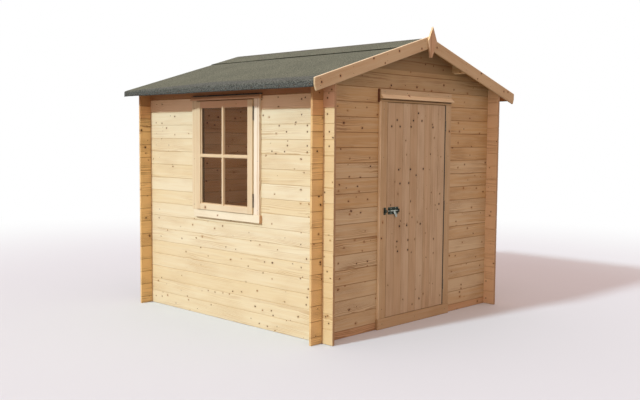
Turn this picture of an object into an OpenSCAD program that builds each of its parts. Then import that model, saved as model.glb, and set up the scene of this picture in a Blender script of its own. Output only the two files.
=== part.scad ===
// Log cabin with a low gable roof, a boarded door under the front gable
// and a four-pane window in the left wall.
// Millimetres, +Z up. The origin is on the ground at the middle of the plan.
// The door is in the -Y wall, the window in the -X wall.

/* [Log walls] */
// Height of one log, from joint to joint
course = 114; // [113:1:137]
// Thickness of a log
log_t = 19; // [16:1:24]
// Distance between the outer faces of the side walls
wall_w = 2160; // [1980:10:2600]
// Distance between the outer faces of the front and back walls
wall_d = 2160; // [1980:10:2600]
// Logs in a side wall, the eaves log counted
side_logs = 17; // [17:1:20]
// Length of a log end beyond the wall it crosses
log_end = 110; // [80:5:130]
// Chamfer along each long edge of a log
log_chamfer = 3; // [1:0.5:5]

/* [Roof] */
// Pitch of both slopes, in degrees
pitch = 17; // [14:0.1:21]
// Thickness of the roof boards
board_t = 16; // [12:1:22]
// Thickness of the roofing felt
felt_t = 4; // [3:0.5:6]
// How far the eaves stand out from the side walls
eaves_out = 215; // [170:1:260]
// How far the roof stands out from the back wall
back_out = 68; // [50:2:76]
// Depth of the felt folded down at the eaves
felt_fold = 45; // [35:1:60]
// Reach of the ridge strip of felt down each slope
ridge_felt_reach = 325; // [200:5:400]

/* [Bargeboards and finial] */
// Thickness of a bargeboard
barge_t = 16; // [14:1:22]
// Width of a bargeboard, square to its edges
barge_w = 94; // [80:2:110]
// How far the front bargeboards stand above the felt
barge_rise = 16; // [8:1:24]
// Height of the finial
finial_h = 244; // [200:2:280]
// Width of the finial at its widest
finial_w = 106; // [90:2:140]

/* [Door] */
// Width of the door leaf
door_w = 756; // [600:1:920]
// Height of the door leaf
door_h = 1683; // [1400:1:1690]
// Thickness of the door boards
door_t = 16; // [14:1:18]
// Number of door boards
door_boards_n = 8; // [6:1:10]
// Gap between the door leaf and the posts
door_gap = 8; // [6:0.5:10]
// Width of a door post
post_w = 80; // [60:1:90]
// How far the posts, head and threshold stand out from the logs
frame_t = 22; // [20:1:26]
// Height of the threshold board
threshold_h = 84; // [70:1:90]

/* [Window] */
// Width of the opening sash
sash_w = 710; // [590:2:860]
// Height of the opening sash
sash_h = 894; // [700:1:900]
// Height of the underside of the sash above the ground
sash_z = 895; // [840:1:903]
// Thickness of the sash
sash_t = 40; // [34:1:48]
// Width of the boards beside the window
trim_w = 63; // [50:1:80]
// How far the boards round the window stand out from the logs
trim_t = 23; // [18:1:28]
// Width of a stile, its stepped inner edge counted
stile_w = 67; // [44:1:76]
// Height of the top and bottom rails of the sash, the stepped edge counted
rail_h = 57; // [44:1:70]
// Width of a glazing bar, its stepped edges counted
bar_w = 34; // [28:1:44]

/* [Floor] */
// Thickness of the floor boards
floor_t = 12; // [10:1:16]
// Number of floor bearers
bearers_n = 5; // [4:1:7]

/* [Hidden] */

$fn = 48;

// Clearances
joint_gap = 0.4;        // between logs and boards stacked in one node
notch_gap = 0.3;        // each side of a corner notch
lay_gap = 0.05;         // between roof layers that lie on each other
rod_gap = 0.4;          // between the bolt rod and its guides

// Colours
sunny_pine = "#E3CFA0";
pine = "#C79E70";
trim_pine = "#EAD9B4";
inner_pine = "#A87C52";
felt_grey = "#6F746C";
zinc = "#A9ADA8";
clear_glass = "#8FA3A8";

// Walls
half = course / 2;
quarter = course / 4;
wx = wall_w / 2;                    // outer face of a side wall
wy = wall_d / 2;                    // outer face of the front or back wall
log_l_x = wall_w + 2 * log_end;     // length of a front or back log
log_l_y = wall_d + 2 * log_end;     // length of a side log
tongue_w = log_t / 3;
tongue_h = 6;
wall_top = side_logs * course;      // underside of the roof at a side wall's outer face
gable_first = side_logs - 1;        // first front or back log above the lintel log

// Roof
slope = tan(pitch);
steep = 1 / cos(pitch);             // upright depth of a layer for each mm of thickness
board_dz = board_t * steep;
felt_dz = felt_t * steep;
apex_under = wall_top + wx * slope; // underside of the roof boards at the ridge
apex_board = apex_under + board_dz;
apex_felt = apex_board + felt_dz;
eaves_x = wx + eaves_out;           // outer face of the felt fold
board_x = eaves_x - felt_t;         // outer edge of the roof boards
front_y = -wy - log_end;            // back of the front bargeboards
back_y = wy + back_out;             // outer face of the felt at the back verge
batten_w = 20;
batten_h = 24;
verge_t = 18;                       // thickness of the battens under the back verge
frame_end_y = back_y - felt_t - verge_t;   // back ends of the purlins and eaves logs
purlin_w = 44;
purlin_h = 58;
slope_purlin_x = 0.48 * wx;         // middle of a slope purlin
ridge_purlin_h = 70;

// Bargeboards
barge_dz = barge_w * steep;
barge_top = apex_felt + barge_rise; // top of the front bargeboards at the ridge
barge_x = eaves_x + 2;
barge_cut = 50;                     // upright part of the end cut
barge_nose = 16;                    // slant of the end cut below it
finial_x = 24;                      // the finial stands this far to the right of the ridge
finial_toe_w = 24;
finial_toe_x = 6;
finial_wide_z = 135;                // height of the widest part above the toe
finial_toe_z = barge_top - barge_dz - 70;

// Door
door_z = threshold_h + 6;           // underside of the leaf
door_top = door_z + door_h;
post_x = door_w / 2 + door_gap;     // inner edge of a post
doorway_x = post_x - 2;             // cut ends of the front logs
frame_y = -wy - frame_t;            // front of the posts
leaf_y = frame_y + 1;               // front of the door boards
head_z = door_top + 6;
head_h = 96;
opening_logs = floor((door_top - half) / course);   // full front logs cut by the doorway
threshold_out = 8;                  // threshold beyond the posts, each end
lining_t = 19;
lining_d = 45;                      // depth of the lining, front to back
lining_back = 5;                    // lining set back from the face of the logs
drip_h = 32;
drip_out = 38;
drip_lip = 10;
drip_z = head_z + 23;
door_board_w = door_w / door_boards_n;
ledge_w = 70;
ledge_t = 18;
ledge_side = 14;                    // ledge short of the lining, each end
brace_w = 60;

// Door hinges
hinge_x = door_w / 2 + door_gap / 2;
hinge_r = 4.5;
hinge_pin_r = 2;
hinge_pin_gap = 0.3;
hinge_y = frame_y - 3;
hinge_leaf_t = 2;
hinge_h = 90;
hinge_z = [door_z + 170, door_z + door_h / 2, door_top - 170];

// Bolt
rod_r = 5;
rod_z = 930;
plate_t = 2.5;
plate_x0 = -door_w / 2 + 14;
plate_l = 127;
plate_h = 56;
guide_w = 12;
guide_h = 26;
guide_d = 15;
rod_y = leaf_y - plate_t - guide_d / 2;
rod_tip_x = -door_w / 2 + 3;
rod_l = 118;
keeper_x0 = -post_x - 32;
keeper_l = 26;

// Window
window_mid = 3;                     // middle of the window along Y
sash_y = sash_w / 2;
sash_gap = 3;
sash_out = 12;                      // sash stands this far out from the trim
sash_top = sash_z + sash_h;
window_y = sash_y + sash_gap;       // inner edges of the trim
lining_w = 12;
lining_dx = 44;
cut_y = window_y + lining_w;        // cut ends of the logs beside the window
trim_x = -wx - trim_t;              // front of the trim
sash_x = trim_x - sash_out;         // front of the sash
sill_cut = sash_z - sash_gap - lining_w;
window_log = floor(sill_cut / course);   // the log that the sill is let into
head_log = ceil((sash_top + sash_gap + lining_w) / course);   // first whole log over the window
head_trim_z = sash_top + 6;
head_trim_h = 33;
head_trim_d = 32;                   // head trim stands this far out from the logs
head_trim_lip = 13;
head_trim_over = 15;                // head trim beyond the side trims, each end
sill_trim_h = 62;
sill_trim_d = 27;
sill_trim_shift = -19;              // sill trim set towards the front of the cabin
step_w = 9.5;                       // stepped edge round each pane
step_d = 9;
glass_in = 18;                      // glass behind the front of the sash
glass_t = 4;
bar_shift = 8;                      // upright bar from the middle of the sash
window_hinge_h = 106;
window_hinge_end = 55;              // hinge from the end of the stile
window_hinge_r = 4.5;

// Floor
bearer_w = 60;
bearer_h = 44;
floor_in = 3;                       // floor boards short of the walls
floor_board_w = 118;

// ---------------------------------------------------------------- helpers

// Cross-section of a log: face to face along x, bottom to top along y
module log_profile(h, groove = true, tongue = true) {
    c = log_chamfer;
    g = tongue_w / 2 + 0.3;
    w = tongue_w / 2;
    m = log_t / 2;
    top = h - joint_gap;
    polygon(concat(
        [[0, c], [c, 0]],
        groove ? [[m - g, 0], [m - g, tongue_h + 0.6], [m + g, tongue_h + 0.6], [m + g, 0]] : [],
        [[log_t - c, 0], [log_t, c], [log_t, top - c], [log_t - c, top]],
        tongue ? [[m + w, top], [m + w, top + tongue_h], [m - w, top + tongue_h], [m - w, top]] : [],
        [[c, top], [0, top - c]]
    ));
}

// One log along Y: outer face at x = 0, thickness towards +x, from y0 to y1
module log_y(y0, y1, h = course, groove = true, tongue = true) {
    translate([0, y1, 0]) rotate([90, 0, 0])
        linear_extrude(y1 - y0) log_profile(h, groove, tongue);
}

// One log along X: outer face at y = 0, thickness towards +y, from x0 to x1
module log_x(x0, x1, h = course, groove = true, tongue = true) {
    translate([x1, 0, 0]) rotate([0, 0, 90]) log_y(0, x1 - x0, h, groove, tongue);
}

// A notch, cut where the crossing wall stands
module notch_box(at, size, z0, z1) {
    translate([at[0], at[1], z0]) cube([size[0], size[1], z1 - z0]);
}

// Notches of a side log of height h, for the front and back walls
module side_notches(h, bottom = true, top = true) {
    for (s = [-1, 1]) {
        y0 = (s < 0 ? -wy : wy - log_t) - notch_gap;
        if (bottom) notch_box([-1, y0], [log_t + 2, log_t + 2 * notch_gap], -1, quarter);
        if (top)
            notch_box([-1, y0], [log_t + 2, log_t + 2 * notch_gap], h - quarter, h + tongue_h + 1);
    }
}

// Notches of a front or back log, for the side walls
module cross_notches(h, bottom = true, top = true) {
    for (s = [-1, 1]) {
        x0 = (s < 0 ? -wx : wx - log_t) - notch_gap;
        if (bottom) notch_box([x0, -1], [log_t + 2 * notch_gap, log_t + 2], -1, quarter);
        if (top)
            notch_box([x0, -1], [log_t + 2 * notch_gap, log_t + 2], h - quarter, h + tongue_h + 1);
    }
}

// Side log number n of the left wall, between y0 and y1
module left_log(n, y0 = -log_l_y / 2, y1 = log_l_y / 2) {
    translate([-wx, 0, n * course])
        difference() {
            log_y(y0, y1, course, n > 0, true);
            side_notches(course);
        }
}

// Front log number k, between x0 and x1
module front_log(k, x0 = -log_l_x / 2, x1 = log_l_x / 2) {
    translate([0, -wy, half + k * course])
        difference() {
            log_x(x0, x1);
            cross_notches(course);
        }
}

// The half log at the foot of the front wall
module front_half_log() {
    translate([0, -wy, 0])
        difference() {
            log_x(-log_l_x / 2, log_l_x / 2, half, false, true);
            cross_notches(half, false, true);
        }
}

// The eaves log of the left wall: its top follows the roof boards
module left_eaves_log() {
    z0 = (side_logs - 1) * course;
    y1 = frame_end_y;
    difference() {
        translate([-wx, 0, z0])
            difference() {
                log_y(-log_l_y / 2, y1, course + log_t * slope + 4, true, false);
                side_notches(course, true, false);
            }
        below_roof_cutter(apex_under - joint_gap, log_l_y);
        for (s = [-1, 1])
            translate([-wx - 1, (s < 0 ? -wy : wy - log_t) - notch_gap, z0 + course - quarter])
                cube([log_t + 2, log_t + 2 * notch_gap, course]);
    }
}

// All that lies above a pair of slopes with their apex at height z
module below_roof_cutter(z, l) {
    r = wx + log_end + 400;
    translate([0, l / 2 + 50, 0]) rotate([90, 0, 0])
        linear_extrude(l + 100)
            polygon([[0, z], [r, z - r * slope], [r, z + 400], [-r, z + 400], [-r, z - r * slope]]);
}

// Section of a layer of one slope (side -1 or 1), upright depth dz under apex height z
module slope_section(side, z, dz, x1, x0 = 0) {
    polygon([
        [side * x0, z - x0 * slope], [side * x1, z - x1 * slope],
        [side * x1, z - x1 * slope - dz], [side * x0, z - x0 * slope - dz]
    ]);
}

// Extrudes a section drawn in x and z from y0 to y1
module along_y(y0, y1) {
    translate([0, y1, 0]) rotate([90, 0, 0]) linear_extrude(y1 - y0) children();
}

// ---------------------------------------------------------------- walls

module left_wall_lower_logs() {
    color(sunny_pine)
        difference() {
            for (n = [0 : window_log]) left_log(n);
            translate([-wx - 1, window_mid - cut_y, sill_cut])
                cube([log_t + 2, 2 * cut_y, 2 * course]);
        }
}

module left_wall_rear_logs() {
    color(sunny_pine)
        for (n = [window_log + 1 : head_log - 1]) left_log(n, window_mid + cut_y, log_l_y / 2);
}

module left_wall_front_logs() {
    color(sunny_pine)
        for (n = [window_log + 1 : head_log - 1]) left_log(n, -log_l_y / 2, window_mid - cut_y);
}

// The whole logs over the window, the eaves log counted
module left_wall_upper_logs() {
    color(inner_pine) {
        if (head_log < side_logs - 1)
            for (n = [head_log : side_logs - 2]) left_log(n);
        left_eaves_log();
    }
}

module right_wall_logs() {
    color(pine) {
        for (n = [0 : side_logs - 2]) mirror([1, 0, 0]) left_log(n);
        mirror([1, 0, 0]) left_eaves_log();
    }
}

module back_wall_logs() {
    color(pine)
        mirror([0, 1, 0]) {
            front_half_log();
            for (k = [0 : gable_first - 1]) front_log(k);
        }
}

// Gable logs of the front wall, cut to the slopes and round the purlins
module gable_logs() {
    rows = ceil((apex_under - half) / course) - 1;
    difference() {
        for (k = [gable_first : rows])
            translate([0, -wy, half + k * course]) gable_log(k);
        below_roof_cutter(apex_under - joint_gap, log_l_y + 400);
        purlin_cutter();
    }
}

// One gable log, as long as the roof lets it be
module gable_log(k) {
    z = half + k * course;
    reach = (apex_under - z) / slope;
    x1 = min(wx + log_end, reach);
    difference() {
        log_x(-x1, x1, course, true, k < floor((apex_under - half) / course));
        if (k == gable_first) cross_notches(course, true, true);
    }
}

module purlin_cutter() {
    g = notch_gap;
    translate([-purlin_w / 2 - g, -wy - 50, apex_under - ridge_purlin_h - g])
        cube([purlin_w + 2 * g, log_t + 100, ridge_purlin_h + 20]);
    for (s = [-1, 1])
        along_y(-wy - 50, -wy + log_t + 50)
            slope_section(s, apex_under + 20, purlin_h + 20 + g,
                slope_purlin_x + purlin_w / 2 + g, slope_purlin_x - purlin_w / 2 - g);
}

module front_gable_logs() {
    color(pine) gable_logs();
}

module back_gable_logs() {
    color(pine) mirror([0, 1, 0]) gable_logs();
}

module front_sill_log() {
    color(pine) front_half_log();
}

module front_wall_left_logs() {
    color(pine) for (k = [0 : opening_logs - 1]) front_log(k, -log_l_x / 2, -doorway_x);
}

module front_wall_right_logs() {
    color(pine) for (k = [0 : opening_logs - 1]) front_log(k, doorway_x, log_l_x / 2);
}

module front_lintel_log() {
    color(pine) for (k = [opening_logs : gable_first - 1]) front_log(k);
}

// ---------------------------------------------------------------- floor

module floor_bearers() {
    room = wall_d - 2 * log_t - 2 * floor_in - bearer_w;
    color(inner_pine)
        for (i = [0 : bearers_n - 1])
            translate([-wx + log_t + floor_in, -room / 2 - bearer_w / 2 + i * room / (bearers_n - 1), 0])
                cube([wall_w - 2 * log_t - 2 * floor_in, bearer_w, bearer_h]);
}

module floor_boards() {
    x0 = -wx + log_t + 0.3;
    span = wall_w - 2 * log_t - 0.6;
    n = round(span / floor_board_w);
    pitch_x = span / n;
    color(inner_pine)
        for (i = [0 : n - 1])
            translate([x0 + i * pitch_x, -wy + log_t + 0.3, bearer_h])
                cube([pitch_x - joint_gap, wall_d - 2 * log_t - 0.6, floor_t]);
}

// ---------------------------------------------------------------- roof

module ridge_purlin() {
    color(inner_pine)
        along_y(front_y, frame_end_y)
            difference() {
                translate([-purlin_w / 2, apex_under - ridge_purlin_h])
                    square([purlin_w, ridge_purlin_h]);
                for (s = [-1, 1]) slope_section(s, apex_under + 50, 50 + lay_gap, purlin_w);
            }
}

module slope_purlins() {
    color(inner_pine)
        along_y(front_y, frame_end_y)
            for (s = [-1, 1])
                slope_section(s, apex_under - lay_gap, purlin_h, slope_purlin_x + purlin_w / 2,
                    slope_purlin_x - purlin_w / 2);
}

module roof_boards(side) {
    color(pine)
        along_y(front_y, back_y - felt_t)
            slope_section(side, apex_board, board_dz, board_x, joint_gap / 2);
}

module left_roof_boards() {
    roof_boards(-1);
}

module right_roof_boards() {
    roof_boards(1);
}

// Batten under the outer edge of the roof boards, behind the felt fold
module eaves_batten(side) {
    x0 = board_x - batten_w;
    z0 = apex_under - board_x * slope - lay_gap;
    color(inner_pine)
        along_y(front_y, frame_end_y)
            polygon([
                [side * x0, z0 - batten_h], [side * board_x, z0 - batten_h],
                [side * board_x, z0], [side * x0, z0 + batten_w * slope]
            ]);
}

module left_eaves_batten() {
    eaves_batten(-1);
}

module right_eaves_batten() {
    eaves_batten(1);
}

// Battens under the back edge of the roof boards, behind the felt fold
module back_verge_battens() {
    color(inner_pine)
        along_y(frame_end_y, back_y - felt_t)
            for (s = [-1, 1])
                slope_section(s, apex_under - lay_gap, batten_h, board_x, joint_gap / 2);
}

// Felt on one slope, folded down at the eaves and over the back verge
module roof_felt(side) {
    z1 = apex_felt - eaves_x * slope;
    color(felt_grey) {
        along_y(front_y, back_y - felt_t)
            polygon([
                [side * joint_gap / 2, apex_felt - joint_gap / 2 * slope],
                [side * eaves_x, z1],
                [side * eaves_x, z1 - felt_fold],
                [side * board_x, z1 - felt_fold],
                [side * board_x, apex_board - board_x * slope],
                [side * joint_gap / 2, apex_board - joint_gap / 2 * slope]
            ]);
        along_y(back_y - felt_t, back_y)
            slope_section(side, apex_felt, felt_dz + felt_fold, eaves_x, joint_gap / 2);
    }
}

module left_roof_felt() {
    roof_felt(-1);
}

module right_roof_felt() {
    roof_felt(1);
}

module ridge_felt() {
    color(felt_grey)
        along_y(front_y, back_y)
            for (s = [-1, 1])
                slope_section(s, apex_felt + felt_dz + lay_gap, felt_dz, ridge_felt_reach);
}

// ---------------------------------------------------------------- bargeboards

// One front bargeboard, side -1 or 1, with its end cut upright and then slanting in
module bargeboard(side, top) {
    x1 = barge_x;
    z1 = top - x1 * slope;
    low = x1 - barge_nose;
    polygon([
        [side * joint_gap, top - joint_gap * slope],
        [side * x1, z1],
        [side * x1, z1 - barge_cut],
        [side * low, top - low * slope - barge_dz],
        [side * joint_gap, top - joint_gap * slope - barge_dz]
    ]);
}

module front_left_bargeboard() {
    color(pine) along_y(front_y - barge_t, front_y) bargeboard(-1, barge_top);
}

module front_right_bargeboard() {
    color(pine) along_y(front_y - barge_t, front_y) bargeboard(1, barge_top);
}

// Pointed board that covers the joint of the front bargeboards
module finial() {
    color(trim_pine)
        translate([0, 0, finial_toe_z])
            along_y(front_y - 2 * barge_t, front_y - barge_t)
                polygon([
                    [finial_toe_x - finial_toe_w / 2, 0],
                    [finial_toe_x + finial_toe_w / 2, 0],
                    [finial_x + finial_w / 2, finial_wide_z],
                    [finial_x, finial_h],
                    [finial_x - finial_w / 2, finial_wide_z]
                ]);
}

// ---------------------------------------------------------------- door frame

module door_post() {
    translate([post_x, frame_y, threshold_h])
        cube([post_w, frame_t, head_z - threshold_h]);
}

module door_left_post() {
    color(pine) mirror([1, 0, 0]) door_post();
}

module door_right_post() {
    color(pine) door_post();
}

module door_head_board() {
    color(pine)
        translate([-post_x - post_w, frame_y, head_z])
            cube([2 * (post_x + post_w), frame_t, head_h]);
}

// Sloping drip board on the face of the head board
module door_drip_board() {
    r = post_x + post_w;
    color(trim_pine)
        translate([-r, frame_y, drip_z]) rotate([90, 0, 90])
            linear_extrude(2 * r)
                polygon([[0, 0], [0, drip_h], [-6, drip_h], [-drip_out, drip_lip], [-drip_out, 0]]);
}

module door_threshold() {
    r = post_x + post_w + threshold_out;
    color(pine) translate([-r, frame_y, 0]) cube([2 * r, frame_t, threshold_h]);
}

// Boards that line the doorway: two sides, the head and the sill
module door_lining() {
    z0 = half;
    z1 = half + opening_logs * course;
    side_h = z1 - z0 - tongue_h - 1 - joint_gap;
    color(inner_pine)
        translate([0, -wy + lining_back, 0]) {
            for (s = [-1, 1])
                translate([s < 0 ? -doorway_x : doorway_x - lining_t, 0, z0 + tongue_h + 1])
                    cube([lining_t, lining_d, side_h]);
            for (z = [z0 + tongue_h + 1, z1 - lining_t])
                translate([-doorway_x + lining_t + joint_gap, 0, z])
                    cube([2 * (doorway_x - lining_t - joint_gap), lining_d, lining_t]);
        }
}

// ---------------------------------------------------------------- door leaf

module door_leaf_boards() {
    c = 2.5;
    w = door_board_w - joint_gap;
    color(trim_pine)
        for (i = [0 : door_boards_n - 1])
            translate([-door_w / 2 + i * door_board_w + joint_gap / 2, leaf_y, door_z])
                linear_extrude(door_h)
                    polygon([[c, 0], [w - c, 0], [w, c], [w, door_t], [0, door_t], [0, c]]);
}

// Three ledges and two braces on the back of the boards
module door_ledges() {
    r = doorway_x - lining_t - ledge_side;
    zs = [door_z + 90, door_z + (door_h - ledge_w) / 2, door_top - 90 - ledge_w];
    color(inner_pine)
        translate([0, leaf_y + door_t, 0]) {
            for (z = zs) translate([-r, 0, z]) cube([2 * r, ledge_t, ledge_w]);
            for (i = [0, 1]) door_brace(r, zs[i] + ledge_w + 0.5, zs[i + 1] - 0.5);
        }
}

// A brace from the hinge side, low, to the free side, high
module door_brace(r, z0, z1) {
    run = brace_w * 1.4;
    translate([0, ledge_t, 0]) rotate([90, 0, 0])
        linear_extrude(ledge_t)
            polygon([[r, z0], [r - run, z0], [-r, z1], [-r + run, z1]]);
}

// ---------------------------------------------------------------- door hinges

// One knuckle of a butt hinge, between two heights
module hinge_knuckle(from, to) {
    translate([hinge_x, hinge_y, from]) cylinder(r = hinge_r, h = to - from);
}

module door_hinge_post_leaves() {
    third = hinge_h / 3;
    color(zinc)
        for (z = hinge_z)
            translate([0, 0, z - hinge_h / 2]) {
                translate([post_x - hinge_leaf_t, hinge_y + 6, 0])
                    cube([hinge_leaf_t, frame_t - 6, hinge_h]);
                translate([hinge_x, hinge_y, 0]) cylinder(r = hinge_pin_r, h = hinge_h);
                for (i = [0, 2]) {
                    hinge_knuckle(i * third, (i + 1) * third);
                    translate([post_x - hinge_leaf_t, hinge_y, i * third])
                        cube([hinge_leaf_t, 7, third]);
                }
            }
}

module door_hinge_door_leaves() {
    third = hinge_h / 3;
    color(zinc)
        for (z = hinge_z)
            translate([0, 0, z - hinge_h / 2]) {
                translate([door_w / 2, hinge_y + 6, 0])
                    cube([hinge_leaf_t, door_t - 3, hinge_h]);
                difference() {
                    union() {
                        hinge_knuckle(third + 0.3, 2 * third - 0.3);
                        translate([door_w / 2, hinge_y, third + 0.3])
                            cube([hinge_leaf_t, 7, third - 0.6]);
                    }
                    translate([hinge_x, hinge_y, third])
                        cylinder(r = hinge_pin_r + hinge_pin_gap, h = third);
                }
            }
}

// ---------------------------------------------------------------- bolt

// A guide block with its bore along X
module bolt_guide(x0, w) {
    translate([x0, rod_y - guide_d / 2, rod_z - guide_h / 2])
        difference() {
            cube([w, guide_d, guide_h]);
            translate([-1, guide_d / 2, guide_h / 2]) rotate([0, 90, 0])
                cylinder(r = rod_r + rod_gap, h = w + 2);
        }
}

module bolt_plate() {
    color(zinc) {
        translate([plate_x0, leaf_y - plate_t, rod_z - plate_h / 2])
            cube([plate_l, plate_t, plate_h]);
        bolt_guide(plate_x0 + 2, guide_w);
        bolt_guide(plate_x0 + plate_l - guide_w - 2, guide_w);
    }
}

// Round rod with a flat tail that hangs between the guides
module bolt_rod() {
    color(zinc) {
        translate([rod_tip_x, rod_y, rod_z]) rotate([0, 90, 0]) cylinder(r = rod_r, h = rod_l);
        translate([rod_tip_x + 76, rod_y + 2, rod_z]) rotate([90, 0, 0])
            linear_extrude(4)
                difference() {
                    polygon([[-8, 3], [8, 3], [38, -40], [34, -52], [22, -54], [-8, -8]]);
                    translate([27, -42]) circle(r = 4);
                }
    }
}

module bolt_keeper() {
    color(zinc) {
        translate([keeper_x0, frame_y - plate_t, rod_z - plate_h / 2])
            cube([keeper_l, plate_t, plate_h]);
        bolt_guide_on_post();
    }
}

module bolt_guide_on_post() {
    intersection() {
        bolt_guide(keeper_x0 + 5, keeper_l - 10);
        translate([keeper_x0, frame_y - 60, rod_z - 50]) cube([keeper_l, 60, 100]);
    }
}

// ---------------------------------------------------------------- window

// Boards that line the hole in the logs: sill, two sides and head
module window_lining() {
    top = head_log * course - joint_gap;
    side_z = sill_cut + lining_w + joint_gap;
    color(inner_pine)
        translate([-wx, window_mid, 0]) {
            translate([0, -cut_y, sill_cut]) cube([lining_dx, 2 * cut_y, lining_w]);
            for (y = [-cut_y, cut_y - lining_w])
                translate([0, y, side_z]) cube([lining_dx, lining_w, top - side_z]);
            translate([0, -window_y + joint_gap, sash_top + sash_gap])
                cube([lining_dx, 2 * (window_y - joint_gap), top - sash_top - sash_gap]);
        }
}

// Boards on the face of the logs beside and under the sash
module window_trim() {
    bottom = sash_z - sash_gap;
    side_z = bottom + joint_gap;
    sill_l = 2 * (window_y + trim_w) - 16;
    color(trim_pine) {
        translate([-wx - sill_trim_d, window_mid + sill_trim_shift - sill_l / 2, bottom - sill_trim_h])
            cube([sill_trim_d, sill_l, sill_trim_h]);
        for (y = [-window_y - trim_w, window_y])
            translate([trim_x, window_mid + y, side_z])
                cube([trim_t, trim_w, head_trim_z - joint_gap - side_z]);
    }
}

// Board with a sloping top over the window
module window_head_trim() {
    r = window_y + trim_w + head_trim_over;
    h = head_trim_h;
    color(trim_pine)
        translate([-wx, window_mid + r, head_trim_z]) rotate([90, 0, 0])
            linear_extrude(2 * r)
                polygon([
                    [0, 0], [-head_trim_d, 0], [-head_trim_d, head_trim_lip],
                    [-head_trim_d / 2, h], [0, h]
                ]);
}

// A board of the sash, l long: its stepped edge runs along +y, its front faces -x
module stepped_member(l, w) {
    linear_extrude(l)
        polygon([
            [0, 0], [sash_t, 0], [sash_t, w], [step_d, w], [step_d, w - step_w], [0, w - step_w]
        ]);
}

module window_stiles() {
    color(trim_pine)
        translate([sash_x, window_mid, sash_z])
            for (s = [0, 1])
                mirror([0, s, 0]) translate([0, -sash_y, 0]) stepped_member(sash_h, stile_w);
}

// The rails run between the flat parts of the stiles, over their steps
module window_rails() {
    inner_w = sash_w - 2 * stile_w;
    color(trim_pine)
        translate([sash_x, window_mid, sash_z + sash_h / 2])
            for (s = [0, 1])
                mirror([0, 0, s]) {
                    translate([0, inner_w / 2, -sash_h / 2]) rotate([90, 0, 0])
                        stepped_member(inner_w, rail_h);
                    for (y = [-inner_w / 2 - step_w, inner_w / 2])
                        translate([0, y, -sash_h / 2]) cube([step_d, step_w, rail_h - step_w]);
                }
}

// A glazing bar, l long, its middle on y = 0 and its front towards -x.
// Its narrow front runs on over the steps at both ends.
module glazing_bar(l) {
    h = bar_w / 2;
    front = bar_w - 2 * step_w;
    translate([step_d, -h, 0]) cube([glass_in - step_d, bar_w, l]);
    translate([0, -front / 2, -step_w]) cube([step_d, front, l + 2 * step_w]);
}

// One upright bar and two level ones between the stiles and rails
module window_bars() {
    inner_w = sash_w - 2 * stile_w;
    inner_h = sash_h - 2 * rail_h;
    color(trim_pine)
        translate([sash_x, window_mid, sash_z + rail_h]) {
            translate([0, bar_shift, 0]) glazing_bar(inner_h);
            for (e = [[-inner_w / 2, bar_shift - bar_w / 2], [bar_shift + bar_w / 2, inner_w / 2]])
                translate([0, e[1] - joint_gap / 2, inner_h / 2]) rotate([90, 0, 0])
                    glazing_bar(e[1] - e[0] - joint_gap);
        }
}

module window_glass() {
    color(clear_glass)
        translate([sash_x + glass_in, window_mid - sash_y + stile_w, sash_z + rail_h])
            cube([glass_t, sash_w - 2 * stile_w, sash_h - 2 * rail_h]);
}

// Two butt hinges in the gap at the front end of the sash
module window_hinges() {
    r = window_hinge_r;
    color(zinc)
        for (z = [sash_z + window_hinge_end, sash_top - window_hinge_end - window_hinge_h])
            translate([trim_x, window_mid - sash_y, z]) {
                translate([-r, -r, 0]) cylinder(r = r, h = window_hinge_h);
                translate([-r, -sash_gap + 0.3, 0])
                    cube([trim_t + r - 2, sash_gap - 0.6, window_hinge_h]);
            }
}

// ---------------------------------------------------------------- output

left_wall_lower_logs();
left_wall_rear_logs();
left_wall_front_logs();
left_wall_upper_logs();
right_wall_logs();
back_wall_logs();
back_gable_logs();
front_sill_log();
front_wall_left_logs();
front_wall_right_logs();
front_lintel_log();
front_gable_logs();
floor_bearers();
floor_boards();
ridge_purlin();
slope_purlins();
left_roof_boards();
right_roof_boards();
left_eaves_batten();
right_eaves_batten();
back_verge_battens();
left_roof_felt();
right_roof_felt();
ridge_felt();
front_left_bargeboard();
front_right_bargeboard();
finial();
door_left_post();
door_right_post();
door_head_board();
door_drip_board();
door_threshold();
door_lining();
door_leaf_boards();
door_ledges();
door_hinge_post_leaves();
door_hinge_door_leaves();
bolt_plate();
bolt_rod();
bolt_keeper();
window_lining();
window_trim();
window_head_trim();
window_stiles();
window_rails();
window_bars();
window_glass();
window_hinges();
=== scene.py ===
# %% [markdown]
# # A small log cabin
# The cabin is built from planed spruce logs that lock at the corners. A felt roof
# lies on boards and purlins, a boarded door hangs under the front gable, and a
# four-pane window sits in the left wall. The solids come from CAD. This lesson
# gives them their finishes and adds what is too small for CAD: nails, screws,
# roof boards with their joints, and felt that folds softly over its edges.

# %% Load the solids
import math
import random

import bmesh
import bpy
from mathutils import Matrix, Vector


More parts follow.
